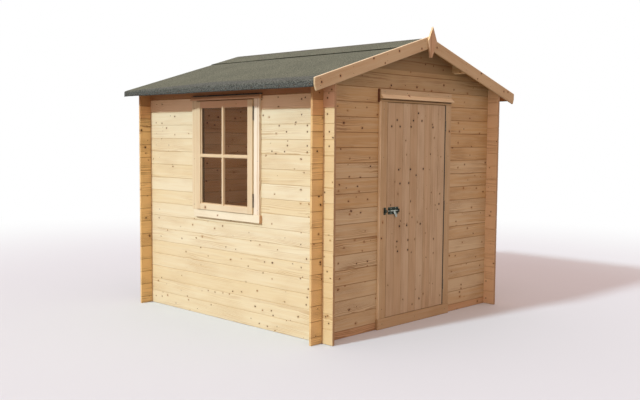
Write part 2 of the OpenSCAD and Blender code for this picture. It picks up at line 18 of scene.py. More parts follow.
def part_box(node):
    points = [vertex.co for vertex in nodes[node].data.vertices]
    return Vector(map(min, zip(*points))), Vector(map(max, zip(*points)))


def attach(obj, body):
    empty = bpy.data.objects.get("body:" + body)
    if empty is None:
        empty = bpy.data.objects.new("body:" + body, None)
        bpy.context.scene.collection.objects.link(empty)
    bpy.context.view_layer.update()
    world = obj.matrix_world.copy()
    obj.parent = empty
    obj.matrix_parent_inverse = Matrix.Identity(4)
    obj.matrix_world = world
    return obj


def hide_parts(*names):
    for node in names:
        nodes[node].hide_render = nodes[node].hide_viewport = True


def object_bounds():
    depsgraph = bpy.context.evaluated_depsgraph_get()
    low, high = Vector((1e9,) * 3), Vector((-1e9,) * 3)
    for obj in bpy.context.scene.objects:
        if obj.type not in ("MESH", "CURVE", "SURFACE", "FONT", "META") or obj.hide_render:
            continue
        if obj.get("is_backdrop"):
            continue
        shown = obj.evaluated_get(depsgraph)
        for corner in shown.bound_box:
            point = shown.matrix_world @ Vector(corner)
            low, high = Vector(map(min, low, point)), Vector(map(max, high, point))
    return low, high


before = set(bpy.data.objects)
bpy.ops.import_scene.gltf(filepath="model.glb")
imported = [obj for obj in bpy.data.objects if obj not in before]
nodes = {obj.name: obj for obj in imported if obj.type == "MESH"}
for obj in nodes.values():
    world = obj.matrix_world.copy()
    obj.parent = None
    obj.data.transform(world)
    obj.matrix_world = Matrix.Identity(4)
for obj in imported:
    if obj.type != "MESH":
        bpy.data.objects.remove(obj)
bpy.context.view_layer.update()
MM = 0.001
print("CAD nodes:", len(nodes))

# %% [markdown]
# Colours are picked as sRGB hex values, as on a screen, but a renderer adds up
# light in linear values. One function turns the first into the second. A second
# small function adds a shader node with its settings and links, so that a
# material reads as a list of steps.


# %% Colour and node helpers
def linear(code):
    """The linear RGBA colour of an sRGB hex code."""
    parts = [int(code[i : i + 2], 16) / 255 for i in (1, 3, 5)]
    return (*[p / 12.92 if p <= 0.04045 else ((p + 0.055) / 1.055) ** 2.4 for p in parts], 1)


def add_node(tree, kind, *sources, sockets=None, **settings):
    """Adds a shader node. Sources fill its inputs in order, sockets by name."""
    node = tree.nodes.new("ShaderNode" + kind)
    for key, value in settings.items():
        setattr(node, key, value)
    for where, value in [*enumerate(sources), *(sockets or {}).items()]:
        if isinstance(value, bpy.types.Node):
            value = value.outputs[0]
        if isinstance(value, bpy.types.NodeSocket):
            tree.links.new(value, node.inputs[where])
        elif value is not None:
            node.inputs[where].default_value = value
    return node


def new_material(name):
    """An empty material: its node tree and its Principled shader."""
    material = bpy.data.materials.new(name)
    material.use_nodes = True
    return material, material.node_tree, material.node_tree.nodes["Principled BSDF"]


# %% [markdown]
# Every log and board is planed softwood, spruce mostly. What the eye reads on it is
# the growth rings, cut along the board: they show as thin streaks, and as long
# arches where the cut runs flat to the rings. So the colour is worked out from
# distance to the middle of the tree, which lies at a different place for each board.
#
# The first step finds which board a point is on. Three chance numbers for each board
# then shift its pattern, so that no two boards are alike.


# %% Where a point lies on its board
RING = 6.5 * MM          # ring spacing, drawn a little coarse so that it shows
JOINT = 4 * MM           # width beside a joint where dust settles
DEPTH = 50 * MM          # the pattern folds back this far into the wood


def board_axes(tree, place, along, across, cell, origin):
    """A board's own axes for a place: u along it, v across and w through, and its chances."""
    shifted = add_node(tree, "VectorMath", place, origin, operation="SUBTRACT")
    board = add_node(tree, "VectorMath", shifted, cell, operation="SNAP")
    inside = add_node(tree, "VectorMath", shifted, board, operation="SUBTRACT")
    chance = add_node(tree, "TexWhiteNoise", board, noise_dimensions="3D")
    draw = add_node(tree, "SeparateColor", chance.outputs["Color"]).outputs
    axes = add_node(tree, "SeparateXYZ", inside).outputs
    u = add_node(tree, "Math", draw[0], 9.0, axes[along], operation="MULTIPLY_ADD")
    v = add_node(tree, "Math", draw[1], 3.0, axes[across], operation="MULTIPLY_ADD")
    w = add_node(tree, "Math", axes[3 - along - across], DEPTH, operation="PINGPONG")
    return u, v, w, draw, axes[across]


# %% [markdown]
# A knot is where a branch was. Small ones are scattered by a cell pattern, one in a
# cell at most, and its outline is bent and made ragged by two fine noises. The rings
# flow round each knot as water flows round a post, which 1 - r^2/d^2 gives: the
# pattern is pushed aside by the branch's radius over the distance, squared.


# %% Knots
FLOW = 1.5               # the rings flow round this many times a knot's radius


def scattered_knots(tree, place, u, v, pitch, most, least):
    """Knots by chance: how far out from each, in radii, the push on the rings, and a draw."""
    u_short = add_node(tree, "Math", u, 0.8, operation="MULTIPLY")
    flat = add_node(tree, "CombineXYZ", u_short, v)
    bend = add_node(tree, "TexNoise", flat, sockets={"Scale": 1 / (22 * MM), "Detail": 1.0})
    bend = add_node(tree, "VectorMath", bend.outputs["Color"], (0.5, 0.5, 0.5), operation="SUBTRACT")
    bent = add_node(tree, "VectorMath", bend, (16 * MM, 10 * MM, 0), flat, operation="MULTIPLY_ADD")
    spacing = {"Vector": bent.outputs[0], "Scale": 1 / pitch}
    cells = add_node(tree, "TexVoronoi", sockets=spacing, voronoi_dimensions="2D")
    ragged = add_node(tree, "TexNoise", flat.outputs[0], sockets={"Scale": 1 / (7 * MM)})
    blur = add_node(tree, "MapRange", ragged, 0.2, 0.8, -1.8 * MM, 1.8 * MM)
    distance = add_node(tree, "Math", cells.outputs["Distance"], pitch, blur, operation="MULTIPLY_ADD")

    # Knots stand in loose groups, and most of them are small
    draw = add_node(tree, "SeparateColor", cells.outputs["Color"]).outputs
    group = add_node(tree, "TexNoise", place, sockets={"Scale": 1.7, "Detail": 1.0})
    fewest = add_node(tree, "MapRange", group, 0.38, 0.62, min(least + 0.45, 0.95), least)
    size = add_node(tree, "MapRange", draw[0], fewest, 1.0, 0.0, 1.0, clamp=True)
    size = add_node(tree, "Math", size, 0.6, operation="POWER")
    radius = add_node(tree, "Math", size, most, 0.02 * MM, operation="MULTIPLY_ADD")

    middle = add_node(tree, "SeparateXYZ", cells.outputs["Position"])
    bent_v = add_node(tree, "SeparateXYZ", bent)
    off_v = add_node(tree, "Math", bent_v.outputs[1], middle.outputs[1], operation="SUBTRACT")
    reach = add_node(tree, "Math", radius, FLOW, operation="MULTIPLY")
    ratio = add_node(tree, "Math", reach, distance, operation="DIVIDE")
    ratio_2 = add_node(tree, "Math", ratio, 2.0, operation="POWER", use_clamp=True)
    pushed = add_node(tree, "Math", off_v, ratio_2, operation="MULTIPLY")
    radii = add_node(tree, "Math", distance, radius, operation="DIVIDE")
    return radii, pushed, draw[1]


def placed_knots(tree, u_whole, v_whole, knots, pushed):
    """Large knots at their own places: how far out, in radii, and the push on the rings."""
    face = add_node(tree, "CombineXYZ", u_whole, v_whole)
    radii = 9.0
    for knot_u, knot_v, knot_r in knots:
        away = add_node(tree, "VectorMath", face, (knot_u, knot_v, 0), operation="DISTANCE")
        near = add_node(tree, "Math", away.outputs["Value"], 1 / knot_r, operation="MULTIPLY")
        radii = add_node(tree, "Math", radii, near, operation="MINIMUM")
        ratio = add_node(tree, "Math", FLOW, near, operation="DIVIDE")
        ratio_2 = add_node(tree, "Math", ratio, 2.0, operation="POWER", use_clamp=True)
        off_v = add_node(tree, "Math", v_whole, knot_v, operation="SUBTRACT")
        pushed = add_node(tree, "Math", off_v, ratio_2, pushed, operation="MULTIPLY_ADD")
    return radii, pushed


# %% [markdown]
# A year's ring starts pale and ends in a thin dark line of late wood, so its colour
# climbs slowly and drops at once, like a saw tooth. The trunk isn't straight, and the
# middle of the tree sways beside the board, which makes the long arches.


# %% Growth rings
STREAK = 0.35            # how far fine streaks move the tone between pale and warm


def growth_rings(tree, u, v_flow, w, draw):
    """Late wood from 0 to 1, and fine streaks along the grain."""
    stretch = add_node(tree, "CombineXYZ", u, draw[2])
    drift = add_node(tree, "TexNoise", stretch, sockets={"Scale": 1.1, "Detail": 2.0})
    sway = add_node(tree, "MapRange", drift, 0.3, 0.7, -20 * MM, 20 * MM, clamp=False)
    pith = add_node(tree, "MapRange", draw[2], 0.0, 1.0, -30 * MM, 150 * MM)
    v_edge = add_node(tree, "Math", draw[1], 3.0, pith, operation="MULTIPLY_ADD")
    v_pith = add_node(tree, "Math", v_flow, v_edge, operation="SUBTRACT")
    v_sway = add_node(tree, "Math", v_pith, sway, operation="ADD")
    w_pith = add_node(tree, "Math", draw[0], DEPTH, w, operation="MULTIPLY_ADD")
    w_deep = add_node(tree, "Math", w_pith, 12 * MM, operation="ADD")
    from_pith = add_node(
        tree, "VectorMath", add_node(tree, "CombineXYZ", v_sway, w_deep), operation="LENGTH"
    )
    grain = add_node(tree, "CombineXYZ", u, v_flow, w)
    grain = add_node(tree, "VectorMath", grain, (2.0, 45.0, 45.0), operation="MULTIPLY")
    fine = add_node(tree, "TexNoise", grain, sockets={"Scale": 1.0, "Detail": 3.0, "Roughness": 0.6})
    phase = add_node(tree, "Math", from_pith.outputs["Value"], 1 / RING, operation="MULTIPLY")
    wavy = add_node(tree, "Math", fine, 1.4, phase, operation="MULTIPLY_ADD")
    tooth = add_node(tree, "Math", wavy, operation="FRACT")
    late_wood = add_node(tree, "MapRange", tooth, 0.25, 0.92, 0.0, 1.0, interpolation_type="SMOOTHSTEP")
    streak = add_node(tree, "MapRange", fine, 0.3, 0.7, -STREAK, STREAK, clamp=False)
    return late_wood, streak


# %% [markdown]
# The wood's colour builds up in layers, as a painter would lay it on: the board's own
# tone, zones where light and shade are painted in, dark ring lines, a stain round each
# knot, the knot itself, dust in the joints, the darker cut ends, and a painted highlight
# on faces that look up.


# %% Planed spruce
def tone_zones(tree, whole, colour, zones):
    """Gives parts of the wood a tone of their own, mostly painted light and shade."""
    for limits, zone_colour, share in zones:
        for axis, low, high in limits:
            middle, reach = (low + high) / 2, (high - low) / 2
            within = add_node(tree, "Math", whole[axis], middle, reach, operation="COMPARE")
            share = add_node(tree, "Math", within, share, operation="MULTIPLY")
        colour = add_node(tree, "MixRGB", share, colour, linear(zone_colour))
    return colour


def planed_spruce(
    name, along, across, cell, origin, pale, warm, late, knot="#5A3A22", halo="#B67C45", tilt=0,
    knot_pitch=0.085, knot_max=6.5 * MM, knot_least=0.3, knot_fade=0.7, ring_show=0.22,
    halo_show=0.5, dust_show=0.75, end_show=0.3, roughness=0.6, top_highlight=None, zones=(), knots=(),
):
    """Planed softwood. Along and across are axes (0, 1, 2), cell is the size of one board.

    A zone is (limits, colour, share): a part of the wood with a tone of its own, mostly
    painted light and shade, where each limit is (axis, low, high) and all of them hold.
    A knot is (place along, place across, radius), in metres, for the few large ones.
    The colour for top highlights is painted light on faces that look up to the sky.
    """
    material, tree, shader = new_material(name)
    place = add_node(tree, "TexCoord").outputs["Object"]
    whole = add_node(tree, "SeparateXYZ", place).outputs
    if tilt:
        turn = {"Angle": math.radians(tilt)}
        place = add_node(tree, "VectorRotate", place, sockets=turn, rotation_type="Y_AXIS")
    u, v, w, draw, v_board = board_axes(tree, place, along, across, cell, origin)
    radii, pushed, knot_draw = scattered_knots(tree, place, u, v, knot_pitch, knot_max, knot_least)
    if knots:
        set_radii, pushed = placed_knots(tree, whole[along], whole[across], knots, pushed)
        radii = add_node(tree, "Math", radii, set_radii, operation="MINIMUM")
    v_flow = add_node(tree, "Math", v, pushed, operation="SUBTRACT")
    late_wood, streak = growth_rings(tree, u, v_flow, w, draw)

    # The board's own tone, its zones and its rings, which fade in and out along it
    tone = add_node(tree, "Math", draw[0], streak, operation="ADD", use_clamp=True)
    colour = add_node(tree, "MixRGB", tone, linear(pale), linear(warm))
    colour = tone_zones(tree, whole, colour, zones)
    spot = add_node(tree, "CombineXYZ", u, v, w)
    spot = add_node(tree, "VectorMath", spot, (2.2, 7.0, 7.0), operation="MULTIPLY")
    figure = add_node(tree, "TexNoise", spot, sockets={"Scale": 1.0, "Detail": 2.0})
    ring_now = add_node(tree, "MapRange", figure, 0.42, 0.66, ring_show * 0.3, ring_show * 2.6)
    late_share = add_node(tree, "Math", late_wood, ring_now, operation="MULTIPLY")
    colour = add_node(tree, "MixRGB", late_share, colour, linear(late))

    # Knots, each in its stain
    knot_mask = add_node(tree, "MapRange", radii, 0.72, 1.05, 1.0, 0.0)
    halo_mask = add_node(tree, "MapRange", radii, 0.9, 2.8, 1.0, 0.0, interpolation_type="SMOOTHSTEP")
    halo_share = add_node(tree, "Math", halo_mask, halo_show, operation="MULTIPLY")
    colour = add_node(tree, "MixRGB", halo_share, colour, linear(halo))
    knot_light = add_node(tree, "MapRange", knot_draw, 0.3, 1.0, 0.0, knot_fade)
    knot_tone = add_node(tree, "MixRGB", knot_light, linear(knot), linear(halo))
    colour = add_node(tree, "MixRGB", knot_mask, colour, knot_tone)
    if knots:
        set_mask = add_node(tree, "MapRange", set_radii, 0.75, 1.0, 1.0, 0.0)
        colour = add_node(tree, "MixRGB", set_mask, colour, linear(knot))

    # Dust settles in the joints between boards
    if cell[across]:
        half = cell[across] / 2
        off = add_node(tree, "Math", v_board, -half, operation="ADD")
        off = add_node(tree, "Math", off, operation="ABSOLUTE")
        dust = add_node(tree, "MapRange", off, half - JOINT, half - JOINT * 0.4, 0.0, dust_show)
        colour = add_node(tree, "MixRGB", dust, colour, linear(late))

    # Cut ends show the rings end on, and drink in more dirt
    facing = add_node(tree, "SeparateXYZ", add_node(tree, "NewGeometry").outputs["Normal"]).outputs
    end_on = add_node(tree, "Math", facing[along], operation="ABSOLUTE")
    end_mask = add_node(tree, "MapRange", end_on, 0.8, 0.95, 0.0, end_show)
    end_colour = add_node(tree, "MixRGB", late_wood, linear(warm), linear(late))
    colour = add_node(tree, "MixRGB", end_mask, colour, end_colour)
    # Faces that look up get a painted highlight
    if top_highlight:
        top_lit = add_node(tree, "MapRange", facing[2], 0.15, 0.5, 0.0, 0.85)
        colour = add_node(tree, "MixRGB", top_lit, colour, linear(top_highlight))
    tree.links.new(colour.outputs[0], shader.inputs["Base Color"])

    # Hard late wood and knots are smoother, and stand a hair proud of the soft wood
    rough = add_node(tree, "MapRange", late_wood, 0.0, 1.0, roughness + 0.06, roughness - 0.05)
    tree.links.new(rough.outputs[0], shader.inputs["Roughness"])
    height = add_node(tree, "Math", late_wood, knot_mask, operation="MAXIMUM")
    relief = {"Strength": 0.25, "Distance": 0.4 * MM, "Height": height.outputs[0]}
    bump = add_node(tree, "Bump", sockets=relief)
    tree.links.new(bump.outputs[0], shader.inputs["Normal"])
    shader.inputs["IOR"].default_value = 1.45
    shader.inputs["Specular IOR Level"].default_value = 0.35
    print("material", name)
    return material


# %% [markdown]
# The logs lie in courses of 114 mm. The side logs start at the ground, and the front
# and back ones half a course higher, because they cross at the corners. Light and shade
# are painted into their colour: the inside is darker and redder as painted shade, the
# course under the eaves is pinker as painted light in the eaves' shade, the strip above
# it is dark as painted shade, the tails past the corners are lighter in the shade as
# painted light and darker in the sun as painted shade, and the gable darkens upward as
# painted shade.


# %% Spruce logs
COURSE = 114 * MM
OUTSIDE = 1080 * MM      # from the middle to the logs' outer faces
INSIDE = 1061.3 * MM     # from here inward the wood is darker and redder: painted shade
TAIL = 1190 * MM         # from the middle to the ends of their tails
PAST = 1200 * MM         # further out than any log
ABOVE = 2300 * MM        # higher than any log
FRONT_TAIL = (1, -PAST, -OUTSIDE)
BACK_TAIL = (1, OUTSIDE, PAST)
LEFT_TAIL = (0, -PAST, -OUTSIDE)
RIGHT_TAIL = (0, OUTSIDE, PAST)
# Cut ends of the front tails: darker end grain, with painted shade on top of it
FRONT_ENDS = ([(1, -TAIL - 0.5 * MM, -TAIL + 1.5 * MM)], "#8C5C3C", 0.85)
SIDE_TOP = 15 * COURSE + 1 * MM
UNDER_EAVES = 1815.5 * MM
SIDE_ZONES = [
    # Inside faces: painted shade, darker and redder
    ([(0, -INSIDE, INSIDE)], "#D0A078", 0.6),
    # The top course of the side walls: painted light, pinker and lighter in the eaves' shade
    ([(2, SIDE_TOP, UNDER_EAVES)], "#F8D4B4", 0.5),
    # The strip under the eaves: painted shade
    ([(2, UNDER_EAVES, ABOVE)], "#8C4E1E", 0.88),
    # Back tails: painted shade, darker, as on the front tails
    ([BACK_TAIL], "#DCC08A", 0.7),
]
SIDE_LOGS = dict(
    pale="#E7DEBE", warm="#E1D0A6", late="#C0A070", knot="#46290C", halo="#A87C48",
    ring_show=0.26, knot_max=7 * MM, knot_pitch=0.08, knot_least=0.42, knot_fade=0.85,
    dust_show=0.3, halo_show=0.25,
)
# Rings of branches on the left wall: a height in courses, and places behind the front corner
LOG_RINGS = {
    15.6: (-0.04, 0.22), 14.6: (-0.04, 0.22, 0.64), 13.9: (0.16, 0.46), 13.5: (-0.06, 0.16, 0.38),
    12.6: (-0.06, 0.16, 0.37), 12.2: (0.16, 0.4, 0.54), 9.7: (-0.02,), 5.3: (0.16,), 4.7: (-0.05,),
    2.8: (0.15,), 2.3: (0.16,), 1.8: (-0.04,), 1.4: (-0.07, 0.54), 1.1: (0.52,),
}
side_spruce = planed_spruce(
    "planed_spruce_left_logs", 1, 2, (1.5, 0, COURSE), (-3, 0, 0), **SIDE_LOGS,
    zones=SIDE_ZONES + [
        # Front tail: painted shade on its sunlit side, and painted light on its top course in the eaves'
        # shade
        ([FRONT_TAIL], "#DCC08A", 0.7), ([FRONT_TAIL, (2, SIDE_TOP, ABOVE)], "#F0C8A8", 0.8), FRONT_ENDS,
    ],
    knots=[(back - OUTSIDE, z * COURSE, 6.5 * MM) for z, row in LOG_RINGS.items() for back in row],
)
far_side_spruce = planed_spruce(
    "planed_spruce_right_logs", 1, 2, (1.5, 0, COURSE), (-3, 0, 0), **SIDE_LOGS,
    # Front tail of the right wall: painted light, lighter in the shade
    zones=SIDE_ZONES + [([FRONT_TAIL], "#F8DCB2", 0.9), FRONT_ENDS],
)
FRONT_TOP = 15.5 * COURSE
GABLE = 1886 * MM        # from here up the front logs are darker: painted shade
HIGH_GABLE = 2030 * MM   # and from here up darker still: painted shade
front_spruce = planed_spruce(
    "planed_spruce_front_logs", 0, 2, (0, 1.5, COURSE), (0, -3, COURSE / 2),
    pale="#DACBA4", warm="#CCAC78", late="#946C40", knot="#3A200E", halo="#A07040",
    ring_show=0.3, knot_max=8 * MM, knot_least=0.4, knot_fade=0.9, dust_show=0.6, halo_show=0.4,
    zones=[
        # Inside faces: painted shade, darker and redder
        ([(1, -INSIDE, INSIDE)], "#C8946A", 0.6),
        ([(2, 0, COURSE / 2 + 1 * MM)], "#D4AC88", 0.5),
        # Tails past the corners: painted light, lighter where bounce light falls in the shade
        ([LEFT_TAIL], "#F8D696", 0.9), ([RIGHT_TAIL], "#FFE0A0", 0.95),
        # Top courses of the left tails: painted shade under the eaves
        ([LEFT_TAIL, (2, FRONT_TOP - COURSE, FRONT_TOP)], "#D89868", 0.5),
        ([LEFT_TAIL, (2, FRONT_TOP, ABOVE)], "#A06840", 0.7),
        # Gable: painted shade under the roof's overhang, deeper higher up
        ([(2, GABLE, ABOVE)], "#B0986E", 0.6), ([(2, HIGH_GABLE, ABOVE)], "#846A46", 0.5),
    ],
    knots=[
        (0.12, 2.1, 7 * MM), (0.23, 2.095, 6 * MM), (0.01, 1.91, 9 * MM), (0.38, 1.945, 9 * MM),
        (-1.14, 1.4, 8 * MM), (-1.1, 0.6, 8 * MM),
    ],
)

# %% [markdown]
# The door's eight boards stand upright, and branches leave a spruce trunk in rings, so
# their knots line up at a few heights. The frame round the door is the same wood,
# with its grain along each board. The left post's outer side is lighter, as painted
# light, and a dark line on the head board under the drip board is painted shadow.


# %% Spruce door and frame
DOOR_BOARD = 94.5 * MM
HALF_DOOR = 4            # boards to each side of the door's middle
# Rings of branches on the door: a height, and places across it counted in boards
DOOR_RINGS = {
    1.7: (4.1,), 1.64: (1.2, 3.4, 4.6), 1.59: (0.5, 1.6, 3.1, 6.2), 1.25: (1.5, 3.1, 4.9), 1.2: (3.9,),
    1.14: (1.7, 2.9), 0.95: (7.3,), 0.8: (1.7, 2.7, 4.6), 0.68: (1.4, 2.9), 0.6: (1.5, 2.9),
}
door_knots = [
    (height, (board - HALF_DOOR) * DOOR_BOARD, 8.5 * MM)
    for height, row in DOOR_RINGS.items()
    for board in row
]
door_spruce = planed_spruce(
    "planed_spruce_door_boards", 2, 0, (DOOR_BOARD, 0, 0), (-HALF_DOOR * DOOR_BOARD, 0, 0),
    pale="#D4C2A0", warm="#C8B08A", late="#967852", knot="#1E0E06", halo="#A88A60",
    dust_show=0.15, halo_show=0.4, ring_show=0.3, knots=door_knots,
)
post_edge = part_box("door_left_post")[0].x
drip_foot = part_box("door_drip_board")[0].z
post_spruce = planed_spruce(
    "planed_spruce_door_posts", 2, 0, (0.3, 0, 0), (-0.6, 0, 0),
    pale="#D0BE98", warm="#C4A87C", late="#987648", knot="#2E1A10", knot_pitch=0.3,
    # The left post's outer side: painted light, lighter in the shade
    zones=[([(0, post_edge - 1 * MM, post_edge + 3.5 * MM)], "#FFF0CC", 0.95)],
    knots=[(1.56, 0.44, 8 * MM), (0.72, -0.44, 7 * MM)],
)
finial_spruce = planed_spruce(
    "planed_spruce_finial", 2, 0, (0.3, 0, 0), (-0.6, 0, 0), end_show=0, top_highlight="#FFE2AE",
    pale="#D8BC98", warm="#CCA880", late="#A0784E", knot="#2E1A10", knot_pitch=0.3,
)
rail_spruce = planed_spruce(
    "planed_spruce_door_rails", 0, 2, (0, 0, 0.6), (0, 0, 0),
    pale="#D2C09A", warm="#C4A87C", late="#987648", knot_pitch=0.3,
    # A dark line under the drip board: painted shadow
    zones=[([(2, drip_foot - 10.5 * MM, drip_foot + 1 * MM)], "#2E1A08", 0.95)],
)
# The drip board is paler than the rails: painted light on its slope, which faces the sky
drip_spruce = planed_spruce(
    "planed_spruce_drip_board", 0, 2, (0, 0, 0.6), (0, 0, 0),
    pale="#F6E8C0", warm="#EEDAA8", late="#C4A06C", knot_pitch=0.3,
)

# %% [markdown]
# The window's trim is the palest wood, in full sun and planed finest. The sash and its
# bars are a shade warmer, and dark behind the glass, as painted shade. The lining in the
# wall is darker and deeper in colour, as painted shade.


# %% Spruce window
WINDOW_WOOD = dict(knot_pitch=0.3, knot_max=6 * MM)
TRIM = dict(pale="#ECE4C8", warm="#E4D6B2", late="#C4A274", **WINDOW_WOOD)
SASH = dict(pale="#E3D5B4", warm="#DCC8A2", late="#BC966A", **WINDOW_WOOD)
# The lining is darker and deeper in colour: painted shade
LINING = dict(pale="#B88A5A", warm="#A87848", late="#7C522C", knot_pitch=0.3)
UPRIGHT = (2, 1, (0, 0.4, 0), (0, -0.8, 0))
LEVEL = (1, 2, (0, 0, 0.3), (0, 0, 0.05))
trim_start, trim_end = (corner.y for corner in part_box("window_trim"))
# The trims' front end faces are orange-brown: painted shade
trim_end_shade = (1, trim_start - 5 * MM, trim_start + 2.5 * MM)
pane_low, pane_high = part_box("window_glass")
stile_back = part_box("window_stiles")[1].x
# Behind the glass the sash is dark: painted shade
shade_behind_glass = ([(0, pane_high.x - 0.2 * MM, stile_back - 0.5 * MM)], "#4E321C", 0.9)
trim_spruce = planed_spruce(
    "planed_spruce_window_trim", *UPRIGHT, **TRIM,
    zones=[
        ([(1, trim_start - 5 * MM, trim_start + 69 * MM)], "#FFF6E8", 0.5),
        ([(1, trim_end - 64 * MM, trim_end + 6 * MM)], "#DCCAA4", 0.5),
        ([trim_end_shade], "#E8B078", 0.8),
    ],
)
sill_trim_spruce = planed_spruce(
    "planed_spruce_window_sill_trim", *LEVEL, **TRIM, zones=[([trim_end_shade], "#C88A58", 0.8)]
)
sash_spruce = planed_spruce("planed_spruce_sash_stiles", *UPRIGHT, **SASH, zones=[shade_behind_glass])
sash_rail_spruce = planed_spruce(
    "planed_spruce_sash_rails", *LEVEL, **SASH, knots=[(0.235, 0.915, 9 * MM)],
    # The top rail and head trim are redder: painted shade under the eaves
    zones=[([(2, pane_high.z - 2 * MM, pane_high.z + 98 * MM)], "#CC9C78", 0.7), shade_behind_glass],
)
lining_spruce = planed_spruce("planed_spruce_window_lining", *UPRIGHT, **LINING)
lining_sill_spruce = planed_spruce(
    "planed_spruce_window_lining_sill", 1, 0, (0.3, 0, 0), (-1.2, 0, 0), **LINING
)

# %% [markdown]
# The bargeboards lie at the roof's pitch, so their grain is turned with them, and
# their upward faces get a painted highlight. Roof and floor boards came from the same saw as the
# logs, but they are darker in the shade. The bearers and battens were never planed.


# %% Spruce roof and floor
PITCH = math.radians(17)
SLOPE = math.tan(PITCH)
barge_low, barge_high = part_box("front_left_bargeboard")


def barge_knots(side, places):
    """Knots on a bargeboard: how far from the ridge, and how many mm below the top edge."""
    return [(side * out, barge_high.z - out * SLOPE - drop * MM, 7.5 * MM) for out, drop in places]


left_barge_spruce = planed_spruce(
    "planed_spruce_left_bargeboard", 0, 2, (0, 0, 0), (0, 0, 0), tilt=17, end_show=0, top_highlight="#FFF0CC",
    pale="#DCCEA8", warm="#D2BA90", late="#A68254", knot="#2E1A10", knot_pitch=0.3,
    knots=barge_knots(-1, [(0.1, 75), (0.38, 30), (0.68, 15), (1.04, 55), (1.23, 50)]),
)
right_barge_spruce = planed_spruce(
    "planed_spruce_right_bargeboard", 0, 2, (0, 0, 0), (0, 0, 0), tilt=-17, end_show=0, top_highlight="#F4DCB0",
    pale="#D6C6A0", warm="#CCB286", late="#A07C50", knot="#2E1A10", knot_pitch=0.3,
    knots=barge_knots(1, [(0.1, 50), (0.75, 15), (1.12, 40), (1.19, 20)]),
)
ROOF_BOARDS = 24
roof_start, roof_end = (corner.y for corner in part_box("left_roof_boards"))
roof_spruce = planed_spruce(
    "planed_spruce_roof_boards", 0, 1, (0, (roof_end - roof_start) / ROOF_BOARDS, 0), (0, roof_start, 0),
    pale="#B98A58", warm="#A67644", late="#7C5028",
)
sawn_spruce = planed_spruce(
    "sawn_spruce_bearers", 1, 0, (0.5, 0, 0), (-3, 0, 0),
    pale="#C59A6C", warm="#B5875A", late="#8A5E38", roughness=0.8,
)
purlin_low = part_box("slope_purlins")[0]
# Purlins: paler as painted light, cut ends dark as painted shade, lower edge light as painted light
purlin_spruce = planed_spruce(
    "planed_spruce_purlins", 1, 2, (0, 0, 0.4), (0, 0, 1.8), end_show=0,
    pale="#E4D2A8", warm="#D8BE8C", late="#A88050",
    zones=[
        ([(1, purlin_low.y - 10 * MM, purlin_low.y + 1 * MM)], "#5A4028", 0.95),
        ([(2, purlin_low.z - 5 * MM, purlin_low.z + 6.5 * MM)], "#F0DEB4", 0.9),
    ],
)
FLOOR_BOARD = 117.8 * MM
floor_spruce = planed_spruce(
    "planed_spruce_floor_boards", 1, 0, (FLOOR_BOARD, 0, 0), (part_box("floor_boards")[0].x, 0, 0),
    pale="#D2A878", warm="#C49664", late="#976A40",
)

# %% [markdown]
# The roof is covered with mineral felt: bitumen sheet faced with fine crushed stone,
# green-grey here. The grit is about a millimetre across, too fine to show, so it is
# drawn at nine. Larger, faint clouds stand for uneven grit and old rain marks. Where
# the sheet folds down at the eaves it is drawn dark and bluish with pale flecks, in a
# band that is wider in front. It is rough all over, so it hardly shines.


# %% Mineral felt
GRIT = 9 * MM


def mineral_felt(name, pale, dark):
    """Bitumen roofing felt with a mineral face, dark and bluish where it folds down."""
    material, tree, shader = new_material(name)
    place = add_node(tree, "TexCoord").outputs["Object"]
    grit = add_node(tree, "TexNoise", place, sockets={"Scale": 1 / GRIT, "Detail": 2.0})
    cloud = add_node(tree, "TexNoise", place, sockets={"Scale": 3.0, "Detail": 4.0})
    grit_share = add_node(tree, "MapRange", grit, 0.35, 0.65, -0.1, 0.75)
    share = add_node(tree, "Math", cloud, 0.55, grit_share, operation="MULTIPLY_ADD", use_clamp=True)
    colour = add_node(tree, "MixRGB", share, linear(dark), linear(pale))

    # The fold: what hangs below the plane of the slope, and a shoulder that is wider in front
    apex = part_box("ridge_felt")[1].z
    axes = add_node(tree, "SeparateXYZ", place)
    side = add_node(tree, "Math", axes.outputs[0], operation="ABSOLUTE")
    under = add_node(tree, "Math", side, SLOPE, axes.outputs[2], operation="MULTIPLY_ADD")
    fold = add_node(tree, "MapRange", under, apex - 8 * MM, apex - 18 * MM, 0.0, 1.0)
    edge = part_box("right_roof_felt")[1].x
    inward = add_node(tree, "Math", edge, side, operation="SUBTRACT")
    reach = add_node(tree, "MapRange", axes.outputs[1], 1.1, 0.1, 0.0, 0.13)
    reach = add_node(tree, "Math", cloud, 0.12, reach, operation="MULTIPLY_ADD")
    reach = add_node(tree, "Math", reach, inward, operation="SUBTRACT")
    shoulder = add_node(tree, "MapRange", reach, 0.03, 0.09, 0.0, 0.85)
    fold = add_node(tree, "Math", fold, shoulder, operation="MAXIMUM")
    flake = add_node(tree, "MapRange", grit, 0.4, 0.62, 0.0, 1.0)
    fold_tone = add_node(tree, "MixRGB", flake, linear("#333733"), linear("#676B65"))
    colour = add_node(tree, "MixRGB", fold, colour, fold_tone)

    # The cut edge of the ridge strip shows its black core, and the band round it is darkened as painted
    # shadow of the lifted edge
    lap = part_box("ridge_felt")[1].x
    lap_core_and_shadow = add_node(tree, "Math", side, lap, 2.5 * MM, operation="COMPARE")
    colour = add_node(tree, "MixRGB", lap_core_and_shadow, colour, linear("#26281F"))
    tree.links.new(colour.outputs[0], shader.inputs["Base Color"])
    rough = add_node(tree, "MapRange", grit, 0.3, 0.7, 0.95, 0.8)
    tree.links.new(rough.outputs[0], shader.inputs["Roughness"])
    relief = {"Strength": 0.6, "Distance": 1 * MM, "Height": grit.outputs[0]}
    bump = add_node(tree, "Bump", sockets=relief)
    tree.links.new(bump.outputs[0], shader.inputs["Normal"])
    shader.inputs["Specular IOR Level"].default_value = 0.25
    print("material", name)
    return material


